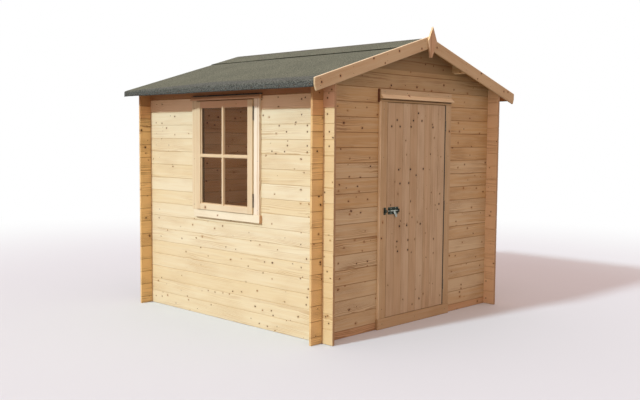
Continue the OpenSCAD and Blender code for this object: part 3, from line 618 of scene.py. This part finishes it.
roof_felt = mineral_felt("mineral_roofing_felt", "#727663", "#373B31")

# %% [markdown]
# The bolt and hinges are pressed from steel and dipped in molten zinc. The zinc sets
# in crystals a few millimetres wide, each a little lighter or darker and more or less
# dull than the next. It is bright at first and weathers to a dark grey. The bolt's
# plate and keeper are drawn darker and greener: painted shade, with a painted green
# reflection.


# %% Galvanised steel
CRYSTAL = 5 * MM


def galvanised_steel(name, pale, dark):
    """Hot-dip zinc on steel: a dull metal with a faint crystal pattern."""
    material, tree, shader = new_material(name)
    place = add_node(tree, "TexCoord").outputs["Object"]
    crystal = add_node(tree, "TexVoronoi", sockets={"Vector": place, "Scale": 1 / CRYSTAL})
    draw = add_node(tree, "SeparateColor", crystal.outputs["Color"])
    colour = add_node(tree, "MixRGB", draw.outputs[0], linear(dark), linear(pale))
    tree.links.new(colour.outputs[0], shader.inputs["Base Color"])
    rough = add_node(tree, "MapRange", draw.outputs[1], 0.0, 1.0, 0.35, 0.55)
    tree.links.new(rough.outputs[0], shader.inputs["Roughness"])
    shader.inputs["Metallic"].default_value = 1.0
    print("material", name)
    return material


zinc = galvanised_steel("galvanised_steel", "#C6CCC2", "#8A9088")
# The plate and keeper: painted shade, with a painted green reflection
shaded_plate_zinc = galvanised_steel("painted_shade_galvanised_steel", "#4E564C", "#20261F")
dull_zinc = galvanised_steel("weathered_zinc", "#8A8070", "#5C5448")

# %% [markdown]
# The panes are float glass, cast flat on molten tin, so only a faint ripple bends what
# they mirror. Glass has an index of 1.5. Here it is lower, because a pane among trees
# mirrors far less light than it would in this pale studio.


# %% Window glass
def window_pane(name):
    """Clear float glass, with a faint ripple in its gloss."""
    material, tree, shader = new_material(name)
    place = add_node(tree, "TexCoord").outputs["Object"]
    ripple = add_node(tree, "TexNoise", place, sockets={"Scale": 3.0})
    relief = {"Strength": 0.05, "Distance": 1 * MM, "Height": ripple.outputs[0]}
    bump = add_node(tree, "Bump", sockets=relief)
    tree.links.new(bump.outputs[0], shader.inputs["Normal"])
    shader.inputs["Base Color"].default_value = linear("#FAFAF6")
    shader.inputs["Transmission Weight"].default_value = 1.0
    shader.inputs["Roughness"].default_value = 0.0
    shader.inputs["IOR"].default_value = 1.12
    print("material", name)
    return material


float_glass = window_pane("clear_float_glass")

# %% [markdown]
# A CAD solid whose shape is right keeps it, and only gets its finish. The pieces made
# further on, which stand for some of the solids, start from these finishes too. The
# pane casts no shadow, so that daylight reaches the room.


# %% Give each solid its finish
FINISHES = {
    side_spruce: "left_wall_lower_logs left_wall_rear_logs left_wall_front_logs left_wall_upper_logs",
    far_side_spruce: "right_wall_logs",
    front_spruce: (
        "back_wall_logs back_gable_logs front_sill_log front_wall_left_logs "
        "front_wall_right_logs front_lintel_log front_gable_logs"
    ),
    sawn_spruce: "floor_bearers left_eaves_batten right_eaves_batten back_verge_battens",
    purlin_spruce: "ridge_purlin slope_purlins",
    floor_spruce: "floor_boards",
    roof_spruce: "left_roof_boards right_roof_boards",
    roof_felt: "left_roof_felt right_roof_felt ridge_felt",
    left_barge_spruce: "front_left_bargeboard",
    right_barge_spruce: "front_right_bargeboard",
    post_spruce: "door_left_post door_right_post door_lining",
    finial_spruce: "finial",
    lining_spruce: "window_lining",
    rail_spruce: "door_head_board door_drip_board door_threshold door_ledges",
    door_spruce: "door_leaf_boards",
    zinc: "bolt_rod",
    shaded_plate_zinc: "bolt_plate bolt_keeper",
    dull_zinc: "door_hinge_post_leaves door_hinge_door_leaves window_hinges",
    trim_spruce: "window_trim",
    sash_spruce: "window_stiles",
    sash_rail_spruce: "window_head_trim window_rails window_bars",
    float_glass: "window_glass",
}
for finish, names in FINISHES.items():
    for name in names.split():
        nodes[name].data.materials.clear()
        nodes[name].data.materials.append(finish)
nodes["window_glass"].visible_shadow = False
print("finishes given:", len(FINISHES))

# %% [markdown]
# Planed boards never keep razor-sharp corners. A stroke of sandpaper or plain wear
# takes a millimetre or two off each arris, and that narrow band catches the light.
# A copy of the CAD mesh gets its flat faces merged, then its corner edges bevelled,
# and stands for the CAD solid.


# %% Eased boards
def new_piece(name, form, finish, body, stands_for=(), smooth=None):
    """Turns a bmesh into a finished piece that rides on a body."""
    mesh = bpy.data.meshes.new(name)
    form.to_mesh(mesh)
    form.free()
    mesh.materials.append(finish)
    if smooth:
        mesh.shade_smooth()
        mesh.set_sharp_from_angle(angle=math.radians(smooth))
    piece = bpy.data.objects.new(name, mesh)
    bpy.context.scene.collection.objects.link(piece)
    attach(piece, body)
    if stands_for:
        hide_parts(*stands_for)
    return piece


def boards_of(form):
    """The separate boards in a bmesh: lists of faces that hang together."""
    left = set(form.faces)
    while left:
        board, open_faces = [], [left.pop()]
        while open_faces:
            face = open_faces.pop()
            board.append(face)
            near = {other for edge in face.edges for other in edge.link_faces} & left
            left -= near
            open_faces += near
        yield board


def ease(node, width, body="cabin", smooth=None, level_finish=None):
    """A copy of a CAD solid with its arrises rounded by the given width.

    The level boards of a frame get their own finish, so that grain runs along each board.
    """
    form = bmesh.new()
    form.from_mesh(nodes[node].data)
    bmesh.ops.remove_doubles(form, verts=form.verts, dist=0.01 * MM)
    bmesh.ops.dissolve_limit(
        form, angle_limit=math.radians(1), verts=form.verts, edges=form.edges,
        use_dissolve_boundaries=False,
    )
    corners = [
        edge for edge in form.edges
        if edge.is_manifold and edge.calc_face_angle_signed() > math.radians(40)
    ]
    bmesh.ops.bevel(
        form, geom=corners, offset=width, segments=2, profile=0.5, affect="EDGES", clamp_overlap=True
    )
    for board in boards_of(form):
        points = [corner.co for face in board for corner in face.verts]
        spans = [max(p[i] for p in points) - min(p[i] for p in points) for i in range(3)]
        for face in board:
            face.material_index = int(bool(level_finish) and spans[2] < max(spans))
    piece = new_piece(node + "_eased", form, nodes[node].data.materials[0], body, (node,), smooth)
    if level_finish:
        piece.data.materials.append(level_finish)
    return piece


for node in ("front_left_bargeboard", "front_right_bargeboard"):
    ease(node, 5 * MM)
for node in ("door_left_post", "door_right_post"):
    ease(node, 3 * MM)
for node in ("door_head_board", "door_threshold", "window_head_trim"):
    ease(node, 2.5 * MM)
ease("finial", 1.5 * MM)
ease("window_trim", 2.5 * MM, level_finish=sill_trim_spruce)
ease("window_lining", 1.5 * MM, level_finish=lining_sill_spruce)
ease("door_lining", 1.5 * MM, level_finish=rail_spruce)
for node in ("window_stiles", "window_rails"):
    ease(node, 1.5 * MM)
ease("door_ledges", 2 * MM, "door")
ease("bolt_plate", 0.8 * MM, "door", smooth=30)
ease("bolt_rod", 0.8 * MM, "bolt", smooth=30)
ease("bolt_keeper", 0.8 * MM, "cabin", smooth=30)

# %% [markdown]
# The drip board throws rain clear of the door. It is planed from one batten: flat
# below with a small groove that the drops can't cross, a short upright nose, and a
# long slope on top. Drawing that section once and pushing it along the door width
# is how the moulder makes it too. Every other strip on the cabin is made this way.


# %% Drip board
def extrude_section(form, section, start, end):
    """Adds a closed solid: a flat section, as points, pushed from start to end."""
    rings = [[form.verts.new(Vector(point) + shift) for point in section] for shift in (start, end)]
    count = len(section)
    for i in range(count):
        j = (i + 1) % count
        form.faces.new((rings[0][i], rings[0][j], rings[1][j], rings[1][i]))
    form.faces.new(rings[0][::-1])
    form.faces.new(rings[1])


def moulding(name, section, lengths, finish, stands_for=(), body="cabin", smooth=None):
    """A piece of one section, pushed along each of its lengths, which are (start, end)."""
    form = bmesh.new()
    for start, end in lengths:
        extrude_section(form, section, Vector(start), Vector(end))
    bmesh.ops.recalc_face_normals(form, faces=form.faces)
    new_piece(name, form, finish, body, stands_for, smooth)
    print("moulding", name, "in lengths:", len(lengths))


low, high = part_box("door_drip_board")
back, nose = high.y, high.y - 25 * MM
OVERHANG = 4 * MM
section = [
    (back, low.z), (back - 12 * MM, low.z), (back - 13 * MM, low.z + 3 * MM),
    (back - 17 * MM, low.z + 3 * MM), (back - 18 * MM, low.z), (nose + 1.5 * MM, low.z),
    (nose, low.z + 1.5 * MM), (nose, low.z + 7 * MM), (nose + 1.5 * MM, low.z + 9.5 * MM),
    (back - 2 * MM, high.z - 1 * MM), (back, high.z),
]
moulding(
    "door_drip_moulding",
    [(0, y, z) for y, z in section],
    [((low.x - OVERHANG, 0, 0), (high.x + OVERHANG, 0, 0))],
    drip_spruce, ("door_drip_board",),
)

# %% [markdown]
# A glazing bar is moulded too: narrow in front, with a slope on both sides that lets
# light in and water off, and square where it meets the glass. The upright bar runs
# through, and the level ones are cut against its front edge.


# %% Glazing bars
BAR = 30 * MM
BAR_FACE = 18 * MM
BAR_EDGE = 8 * MM
low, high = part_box("window_bars")
upright_y = (pane_low.y + pane_high.y) / 2 + 8 * MM
level_z = (pane_low.z + pane_high.z) / 2
section = [
    (high.x, -BAR / 2), (low.x + BAR_EDGE, -BAR / 2), (low.x, -BAR_FACE / 2),
    (low.x, BAR_FACE / 2), (low.x + BAR_EDGE, BAR / 2), (high.x, BAR / 2),
]
moulding(
    "window_upright_bar",
    [(x, upright_y + w, 0) for x, w in section],
    [((0, 0, low.z), (0, 0, high.z))],
    sash_spruce, ("window_bars",),
)
moulding(
    "window_level_bars",
    [(x, 0, level_z + w) for x, w in section],
    [
        ((0, low.y, 0), (0, upright_y - BAR_FACE / 2, 0)),
        ((0, upright_y + BAR_FACE / 2, 0), (0, high.y, 0)),
    ],
    sash_rail_spruce, ("window_bars",),
)

# %% [markdown]
# The roof is not one sheet but matchboards laid side by side down the slope, and
# from below each joint shows as a V. The CAD keeps one solid a side. Here it is
# split into its boards, in the same space.


# %% Roof boards
GROOVE = 0.3 * MM
for side, sign in (("left", -1), ("right", 1)):
    low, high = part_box(side + "_roof_boards")
    thick = 16 * MM / math.cos(PITCH)
    inner, outer = min(abs(low.x), abs(high.x)), max(abs(low.x), abs(high.x))
    width = (high.y - low.y) / ROOF_BOARDS
    form = bmesh.new()
    for i in range(ROOF_BOARDS):
        y0, y1 = low.y + i * width + GROOVE, low.y + (i + 1) * width - GROOVE
        section = [
            (y0, 0), (y1, 0), (y1, -thick + 3 * MM), (y1 - 2.5 * MM, -thick),
            (y0 + 2.5 * MM, -thick), (y0, -thick + 3 * MM),
        ]
        extrude_section(
            form,
            [(0, y, high.z + z) for y, z in section],
            Vector((sign * inner, 0, 0)),
            Vector((sign * outer, 0, -SLOPE * (outer - inner))),
        )
    bmesh.ops.recalc_face_normals(form, faces=form.faces)
    stands_for = (side + "_roof_boards",)
    new_piece(side + "_roof_matchboards", form, roof_spruce, "cabin", stands_for)
print("roof boards a side:", ROOF_BOARDS)

# %% [markdown]
# Roofing felt is stiff but it still bends in a curve, never in a crease. It is drawn
# as one sheet a side that runs down the slope, lifts a little before the eaves where
# the bend pulls on it, and hangs over the edge. At the back it turns down over the
# verge in the same way. The strip over the ridge laps it, and its edges curl up.


# %% Felt
FELT = 4 * MM            # two layers of sheet where it laps and folds
VERGE_BEND = 10 * MM     # radius of the turn over the back verge
VERGE_DROP = 17 * MM     # one step down below that turn
felt_chance = random.Random(7)
waves = [(felt_chance.uniform(2, 9), felt_chance.uniform(0, 6.3)) for _ in range(5)]


def wave(y):
    """A gentle irregular wave between about -1 and 1 along the building."""
    return sum(math.sin(rate * y + start) for rate, start in waves) / 3


def felt_sheet(name, sign, path, finish, stands_for):
    """A felt sheet: path(y) gives (x, z) points, low.y to high.y gives its length."""
    low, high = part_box(stands_for)
    rows, bend = 96, 6
    form = bmesh.new()
    grid = []
    for j in range(rows + bend + 3):
        turn = max(0, j - rows)
        y = low.y + (high.y - VERGE_BEND - low.y) * min(j, rows) / rows
        drop = 0.0
        if turn:
            angle = math.pi / 2 * min(turn, bend) / bend
            y += VERGE_BEND * math.sin(angle)
            drop = VERGE_BEND * (1 - math.cos(angle)) + max(0, turn - bend) * VERGE_DROP
        grid.append([form.verts.new((sign * x, y, z - drop * flat)) for x, z, flat in path(y)])
    for a, b in zip(grid, grid[1:]):
        for i in range(len(a) - 1):
            form.faces.new((a[i], a[i + 1], b[i + 1], b[i]))
    bmesh.ops.recalc_face_normals(form, faces=form.faces)
    if sum(face.normal.z * face.calc_area() for face in form.faces) < 0:
        bmesh.ops.reverse_faces(form, faces=form.faces)
    piece = new_piece(name, form, finish, "cabin", (stands_for,), smooth=50)
    body = piece.modifiers.new("thickness", "SOLIDIFY")
    body.thickness = FELT
    body.offset = -1


low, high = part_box("right_roof_felt")
felt_top, eaves, hem = high.z + SLOPE * low.x, high.x, low.z


def main_path(y):
    """Down the slope, round the eaves and down to the hem, as (x, z, how flat) points."""
    soft = min(1, max(0, (1.1 - y) / 1.0))
    radius = (12 + 5 * soft) * MM
    turn = math.radians(73)
    cut = radius * math.tan(turn / 2)
    last = eaves - cut * math.cos(PITCH)
    points = []
    for i in range(27):
        share = (i / 26) ** 0.6
        x = low.x + (last - low.x) * share
        near = max(0, 1 - abs(last - 0.05 - x) / 0.12)
        lift = near**2 * (3 - 2 * near) * (2 + 1.5 * wave(y)) * MM * soft
        points.append((x, felt_top - SLOPE * x + lift, 1))
    centre_x = last - radius * math.sin(PITCH)
    centre_z = felt_top - SLOPE * last - radius * math.cos(PITCH)
    for i in range(1, 8):
        angle = PITCH + turn * i / 7
        points.append((centre_x + radius * math.sin(angle), centre_z + radius * math.cos(angle), 1 - i / 7))
    top = points[-1][1]
    end = hem + (1.5 + 1.5 * wave(y * 2)) * MM
    for i in range(1, 4):
        bulge = 1.0 * MM * wave(y + i) * i / 3
        points.append((eaves + bulge, top + (end - top) * i / 3, 0))
    return points


def ridge_path(y):
    """The strip over the ridge, from the apex to its lifted edge."""
    low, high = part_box("ridge_felt")
    points = []
    for i in range(15):
        x = 0.2 * MM + (high.x - 0.2 * MM) * (i / 14) ** 0.5
        near = max(0, 1 - (high.x - x) / 0.04)
        lift = near**2 * (1.6 + 1.2 * wave(y)) * MM
        points.append((x, high.z - SLOPE * x + lift, 1))
    return points


for side, sign in (("left", -1), ("right", 1)):
    felt_sheet(side + "_felt_sheet", sign, main_path, roof_felt, side + "_roof_felt")
    felt_sheet(side + "_ridge_felt_strip", sign, ridge_path, roof_felt, "ridge_felt")
print("felt sheets: 4")

# %% [markdown]
# Above the window a narrow dark strip of felt lies on the head trim and turns up the
# logs. It is painted shade: a dark sheet put in the shaded gap above the trim.

# %% Shade strip over the window
low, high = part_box("window_head_trim")
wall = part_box("left_wall_upper_logs")[0].x
top = high.z
section = [
    (low.x + 6 * MM, top + 1.5 * MM), (low.x + 6 * MM, top), (wall, top), (wall, top + 11 * MM),
    (wall - 1.5 * MM, top + 11 * MM), (wall - 2.5 * MM, top + 4 * MM), (wall - 5 * MM, top + 1.5 * MM),
]
window_shade_felt = mineral_felt("painted_shade_felt", "#4E3A28", "#2C2018")
moulding(
    "window_head_shade_strip",
    [(x, 0, z) for x, z in section],
    [((0, low.y + 2 * MM, 0), (0, high.y - 2 * MM, 0))],
    window_shade_felt,
)

# %% [markdown]
# On the closing side a thin bead lines the post, so that only a hair of a gap is left
# beside the leaf. The bolt slides across in front of it.


# %% Closing bead
leaf_low, leaf_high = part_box("door_leaf_boards")
post_low, post_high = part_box("door_left_post")
section = [
    (post_high.x, leaf_low.y + 1 * MM), (post_high.x + 4 * MM, leaf_low.y + 1 * MM),
    (post_high.x + 5.2 * MM, leaf_low.y + 2.2 * MM), (post_high.x + 5.2 * MM, leaf_high.y),
    (post_high.x, leaf_high.y),
]
moulding(
    "door_closing_bead",
    [(x, y, 0) for x, y in section],
    [((0, 0, post_low.z + 2 * MM), (0, 0, post_high.z - 2 * MM))],
    post_spruce,
)

# %% [markdown]
# Two dark strips further on are painted shade, put where narrow gaps lie in shade.
# They have no gloss, and their colour is mottled. One finish does both, and only the
# first one's dents are deep enough to feel.


# %% Finish for shade strips
def shade_strip_finish(name, spot, detail, dark, pale, roughness, relief):
    """A dull dark finish for painted shade, mottled with spots of the given size."""
    material, tree, shader = new_material(name)
    place = add_node(tree, "TexCoord").outputs["Object"]
    mottle = add_node(tree, "TexNoise", place, sockets={"Scale": 1 / spot, "Detail": detail})
    colour = add_node(tree, "MixRGB", mottle, linear(dark), linear(pale))
    tree.links.new(colour.outputs[0], shader.inputs["Base Color"])
    dents = {"Strength": relief, "Distance": 1 * MM, "Height": mottle.outputs[0]}
    bump = add_node(tree, "Bump", sockets=dents)
    tree.links.new(bump.outputs[0], shader.inputs["Normal"])
    shader.inputs["Roughness"].default_value = roughness
    print("material", name)
    return material


head_shade_finish = shade_strip_finish("painted_shade_tape", 4 * MM, 2.0, "#4A2816", "#7A4A2C", 0.95, 0.5)
hinge_gap_shade_finish = shade_strip_finish("painted_shade_gap_strip", 16.7 * MM, 3.0, "#141C18", "#2E3A34", 0.7, 0.02)

# %% [markdown]
# At the left end of the head board a dark strip is pressed against the logs. It is
# painted shade: a dark piece put where the recess beside the board lies in shade.


# %% Shade strip at the head board
head_low, head_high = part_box("door_head_board")
front_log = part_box("front_lintel_log")[0].y
section = [
    (head_low.x, front_log), (head_low.x, front_log - 9 * MM), (head_low.x - 3 * MM, front_log - 8 * MM),
    (head_low.x - 11 * MM, front_log - 2 * MM), (head_low.x - 12 * MM, front_log),
]
moulding(
    "door_head_shade_strip",
    [(x, y, 0) for x, y in section],
    [((0, 0, head_low.z - 6 * MM), (0, 0, head_high.z))],
    head_shade_finish,
)

# %% [markdown]
# A dark strip fills the gap on the hinge side of the door: painted shade, for the
# shade in that gap. It is fixed to the edge of the leaf, in four lengths, because the
# hinges take its place where they turn. Its face is rounded.


# %% Shade strip in the hinge gap
hinge_low, hinge_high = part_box("door_hinge_door_leaves")
HINGE = 90 * MM          # height of a hinge
END_GAP = 2 * MM
cuts = [leaf_low.z + END_GAP]
for z in (hinge_low.z + HINGE / 2, (hinge_low.z + hinge_high.z) / 2, hinge_high.z - HINGE / 2):
    cuts += [z - HINGE / 2 - END_GAP, z + HINGE / 2 + END_GAP]
cuts.append(leaf_high.z - END_GAP)
section = [
    (-2.5, 0), (7.2, 0), (7.2, -1.6), (6.0, -3.0), (4.0, -3.6), (1.0, -3.6), (-1.2, -3.0), (-2.5, -1.6)
]
moulding(
    "door_hinge_gap_shade_strip",
    [(leaf_high.x + x * MM, leaf_low.y + y * MM, 0) for x, y in section],
    [((0, 0, z0), (0, 0, z1)) for z0, z1 in zip(cuts[::2], cuts[1::2])],
    hinge_gap_shade_finish, body="door", smooth=40,
)

# %% [markdown]
# Nails and screws hold the trim. Wire nails in softwood rust a little and leave a
# brown ring, so they are dull and dark. Felt is held with clout nails, short with a
# wide thin head. The heads of one kind are drawn together, as one piece each.


# %% Nail and screw heads
def heads(name, places, facing, radius, finish, body="cabin", cross=False):
    """Low domed heads at these places, facing one way. A cross is a screw's recess."""
    form = bmesh.new()
    turn = Vector(facing).normalized().to_track_quat("Z", "Y").to_matrix().to_4x4()
    rings = [(1.0, -0.2), (1.0, 0.1), (0.85, 0.26), (0.6, 0.32)]
    for place in places:
        here = Matrix.Translation(place) @ turn
        last = None
        for share, rise in rings + ([(0.45, 0.05)] if cross else [(0.3, 0.36)]):
            ring = []
            for i in range(16):
                angle = math.tau * i / 16
                arm = share * (0.3 if cross and share == 0.45 and i % 4 else 1)
                spot = Vector((math.cos(angle) * arm, math.sin(angle) * arm, rise)) * radius
                ring.append(form.verts.new(here @ spot))
            for i in range(16):
                if last:
                    form.faces.new((last[i], last[(i + 1) % 16], ring[(i + 1) % 16], ring[i]))
            last = ring
        form.faces.new(last)
    return new_piece(name, form, finish, body, smooth=45)


CLOUT = 4.5 * MM         # radius of a clout nail's head
rusty = galvanised_steel("rusted_nail_steel", "#6A4A34", "#33241A")
nails = []
for side in (-1, 1):
    for along in (60, 520, 900, 1240):
        for drop in (24, 72):
            x = side * along * MM
            nails.append((x, barge_low.y, barge_high.z - abs(x) * SLOPE - drop * MM))
heads("bargeboard_nails", nails, (0, -1, 0), 2.6 * MM, rusty)

screws = []
for x in (post_low.x, -post_high.x):
    for z in (0.16, 0.55, 0.95, 1.35, 1.72):
        screws.append((x + 40 * MM, post_low.y, z))
for x in (-0.42, -0.14, 0.14, 0.42):
    screws.append((x, head_low.y, head_high.z - 22 * MM))
sill_low, sill_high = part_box("door_threshold")
for x in (-0.42, 0, 0.42):
    screws.append((x, sill_low.y, sill_high.z / 2))
heads("door_frame_screws", screws, (0, -1, 0), 3.2 * MM, dull_zinc, cross=True)

trim_low, trim_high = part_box("window_trim")
screws = []
for y in (trim_low.y + 30 * MM, trim_high.y - 30 * MM):
    for z in (trim_low.z + 100 * MM, (trim_low.z + trim_high.z) / 2, trim_high.z - 60 * MM):
        screws.append((trim_low.x + 4 * MM, y, z))
heads("window_trim_screws", screws, (-1, 0, 0), 3.0 * MM, dull_zinc, cross=True)

ledge_low, ledge_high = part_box("door_ledges")
screws = []
for z in (ledge_low.z + 45 * MM, (ledge_low.z + ledge_high.z) / 2, ledge_high.z - 45 * MM):
    for i in range(2 * HALF_DOOR):
        x = leaf_low.x + DOOR_BOARD * (i + 0.5)
        if ledge_low.x + 10 * MM < x < ledge_high.x - 10 * MM:
            screws += [(x, ledge_high.y, z - 20 * MM), (x, ledge_high.y, z + 20 * MM)]
heads("door_ledge_screws", screws, (0, 1, 0), 3.2 * MM, dull_zinc, "door", cross=True)

plate_low, plate_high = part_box("bolt_plate")
plate_front = plate_high.y - 2.5 * MM
screws = [
    (plate_low.x + dx * MM, plate_front, plate_low.z + dz * MM)
    for dx, dz in ((36, 8), (36, 48), (92, 48), (98, 8))
]
heads("bolt_plate_screws", screws, (0, -1, 0), 3.4 * MM, zinc, "door", cross=True)

strip_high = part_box("ridge_felt")[1]
lap_x = strip_high.x - 25 * MM
lap_z = strip_high.z - SLOPE * lap_x + 0.5 * MM
for name, side in (("left", -1), ("right", 1)):
    hem_row = [(side * (eaves + 0.2 * MM), -1.15 + 0.15 * i, hem + 20 * MM) for i in range(16)]
    heads(name + "_eaves_clouts", hem_row, (side, 0, 0), CLOUT, rusty)
    lap_row = [(side * lap_x, -1.15 + 0.1 * i, lap_z) for i in range(23)]
    up_slope = (side * math.sin(PITCH), 0, math.cos(PITCH))
    heads(name + "_lap_clouts", lap_row, up_slope, CLOUT, rusty)
verge_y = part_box("right_roof_felt")[1].y
verge_x = [0.1 * i - 1.25 for i in range(26)]
verge_row = [(x, verge_y, felt_top - SLOPE * abs(x) - 28 * MM) for x in verge_x]
heads("back_verge_clouts", verge_row, (0, 1, 0), CLOUT, rusty)

# %% [markdown]
# The camera stands at eye height off the front left corner, 7.4 m from the middle, and
# looks slightly down. Its yaw is counted from the line that runs from front to back. A
# moderate lens keeps the edges of the cabin from leaning.


# %% Camera
camera = bpy.data.objects.new("camera", bpy.data.cameras.new("camera"))
bpy.context.scene.collection.objects.link(camera)
camera.location = (-5.298, -5.123, 1.489)
yaw, pitch_down, roll = math.radians(46.026), math.radians(4.301), math.radians(0.450)
forward = Vector(
    (math.sin(yaw) * math.cos(pitch_down), math.cos(yaw) * math.cos(pitch_down), -math.sin(pitch_down))
)
level_right = Vector((math.cos(yaw), -math.sin(yaw), 0))
level_up = level_right.cross(forward)
right = level_right * math.cos(roll) + level_up * math.sin(roll)
up = level_up * math.cos(roll) - level_right * math.sin(roll)
camera.rotation_mode = "QUATERNION"
camera.rotation_quaternion = Matrix((right, up, -forward)).transposed().to_quaternion()
camera.data.sensor_width = 36
camera.data.lens = 45.81
camera.data.clip_end = 200
bpy.context.scene.camera = camera
print("camera:", round(math.hypot(*camera.location[:2]), 1), "m from the middle of the cabin")

# %% [markdown]
# One soft sun lights the left wall and leaves the front in open shade, which a warm
# dome fills. What the camera sees of the world, straight or in metal and glass, is
# plain white, and the dome that lights the cabin is weaker. A weak lamp in the room
# stands for daylight that bounces about inside.


# %% Light
def background_rays(tree):
    """1 for rays that look at the background, straight or by way of metal and glass, else 0."""
    path = add_node(tree, "LightPath").outputs
    seen = add_node(tree, "Math", path["Is Camera Ray"], path["Is Glossy Ray"], operation="MAXIMUM")
    return add_node(tree, "Math", seen, path["Is Transmission Ray"], operation="MAXIMUM")


SUN_FROM = Vector((-1.0, 0.14, 0.64)).normalized()
sun = bpy.data.objects.new("key_light", bpy.data.lights.new("key_light", "SUN"))
sun.data.energy = 2.45
sun.data.angle = math.radians(5)
sun.data.color = (0.89, 1.01, 1.06)
sun.rotation_mode = "QUATERNION"
sun.rotation_quaternion = SUN_FROM.to_track_quat("Z", "Y")
bpy.context.scene.collection.objects.link(sun)

world = bpy.data.worlds.new("studio")
bpy.context.scene.world = world
world.use_nodes = True
sky = world.node_tree
seen = background_rays(sky)
toward = add_node(sky, "SeparateXYZ", add_node(sky, "TexCoord").outputs["Generated"])
dome = add_node(sky, "MapRange", toward.outputs[2], -0.1, 1.0, 0.35, 1.0)
strength = add_node(sky, "MixRGB", seen, dome, (1, 1, 1, 1))
sky.links.new(strength.outputs[0], sky.nodes["Background"].inputs["Strength"])
tint = add_node(sky, "MixRGB", seen, (1.125, 0.755, 0.68, 1), (1, 1, 1, 1))
sky.links.new(tint.outputs[0], sky.nodes["Background"].inputs["Color"])

lamp = bpy.data.objects.new("room_light", bpy.data.lights.new("room_light", "AREA"))
lamp.data.shape = "RECTANGLE"
lamp.data.size, lamp.data.size_y = 1.2, 1.2
lamp.data.energy = 5.2
lamp.data.color = (1.0, 0.8, 0.66)
lamp.location = (0, 0, 1.9)
bpy.context.scene.collection.objects.link(lamp)
print("lights: sun, dome and room lamp")

# %% [markdown]
# The floor is a pale painted disc. Far out it glows white, so that it meets the white
# background with no edge, and near the cabin it stays dull and keeps the shadow.


# %% Floor
mesh = bpy.data.meshes.new("studio_floor")
form = bmesh.new()
bmesh.ops.create_circle(form, cap_ends=True, radius=60, segments=96)
form.to_mesh(mesh)
form.free()
floor = bpy.data.objects.new("studio_floor", mesh)
bpy.context.scene.collection.objects.link(floor)
floor.location.z = -0.0005
material, tree, shader = new_material("pale_studio_floor")
seen = background_rays(tree)
pale_floor = add_node(tree, "MixRGB", seen, linear("#9C9A94"), linear("#D3E1E8"))
tree.links.new(pale_floor.outputs[0], shader.inputs["Base Color"])
shader.inputs["Roughness"].default_value = 0.9
from_middle = add_node(
    tree, "VectorMath", add_node(tree, "TexCoord").outputs["Object"], operation="LENGTH"
).outputs["Value"]
far = add_node(tree, "MapRange", from_middle, 3.0, 9.0, 0.0, 1.0, interpolation_type="SMOOTHSTEP")
share = add_node(tree, "Math", far, seen, operation="MULTIPLY")
glow = add_node(tree, "Emission")
mixed = add_node(tree, "MixShader", share, shader, glow)
tree.links.new(mixed.outputs[0], tree.nodes["Material Output"].inputs["Surface"])
mesh.materials.append(material)
floor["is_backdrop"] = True
print("floor radius 60 m")

# %% [markdown]
# The colours are shown as they are written, with no film curve. Last, the size of the
# whole is measured.


# %% Finish
bpy.context.scene.view_settings.view_transform = "Standard"
low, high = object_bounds()
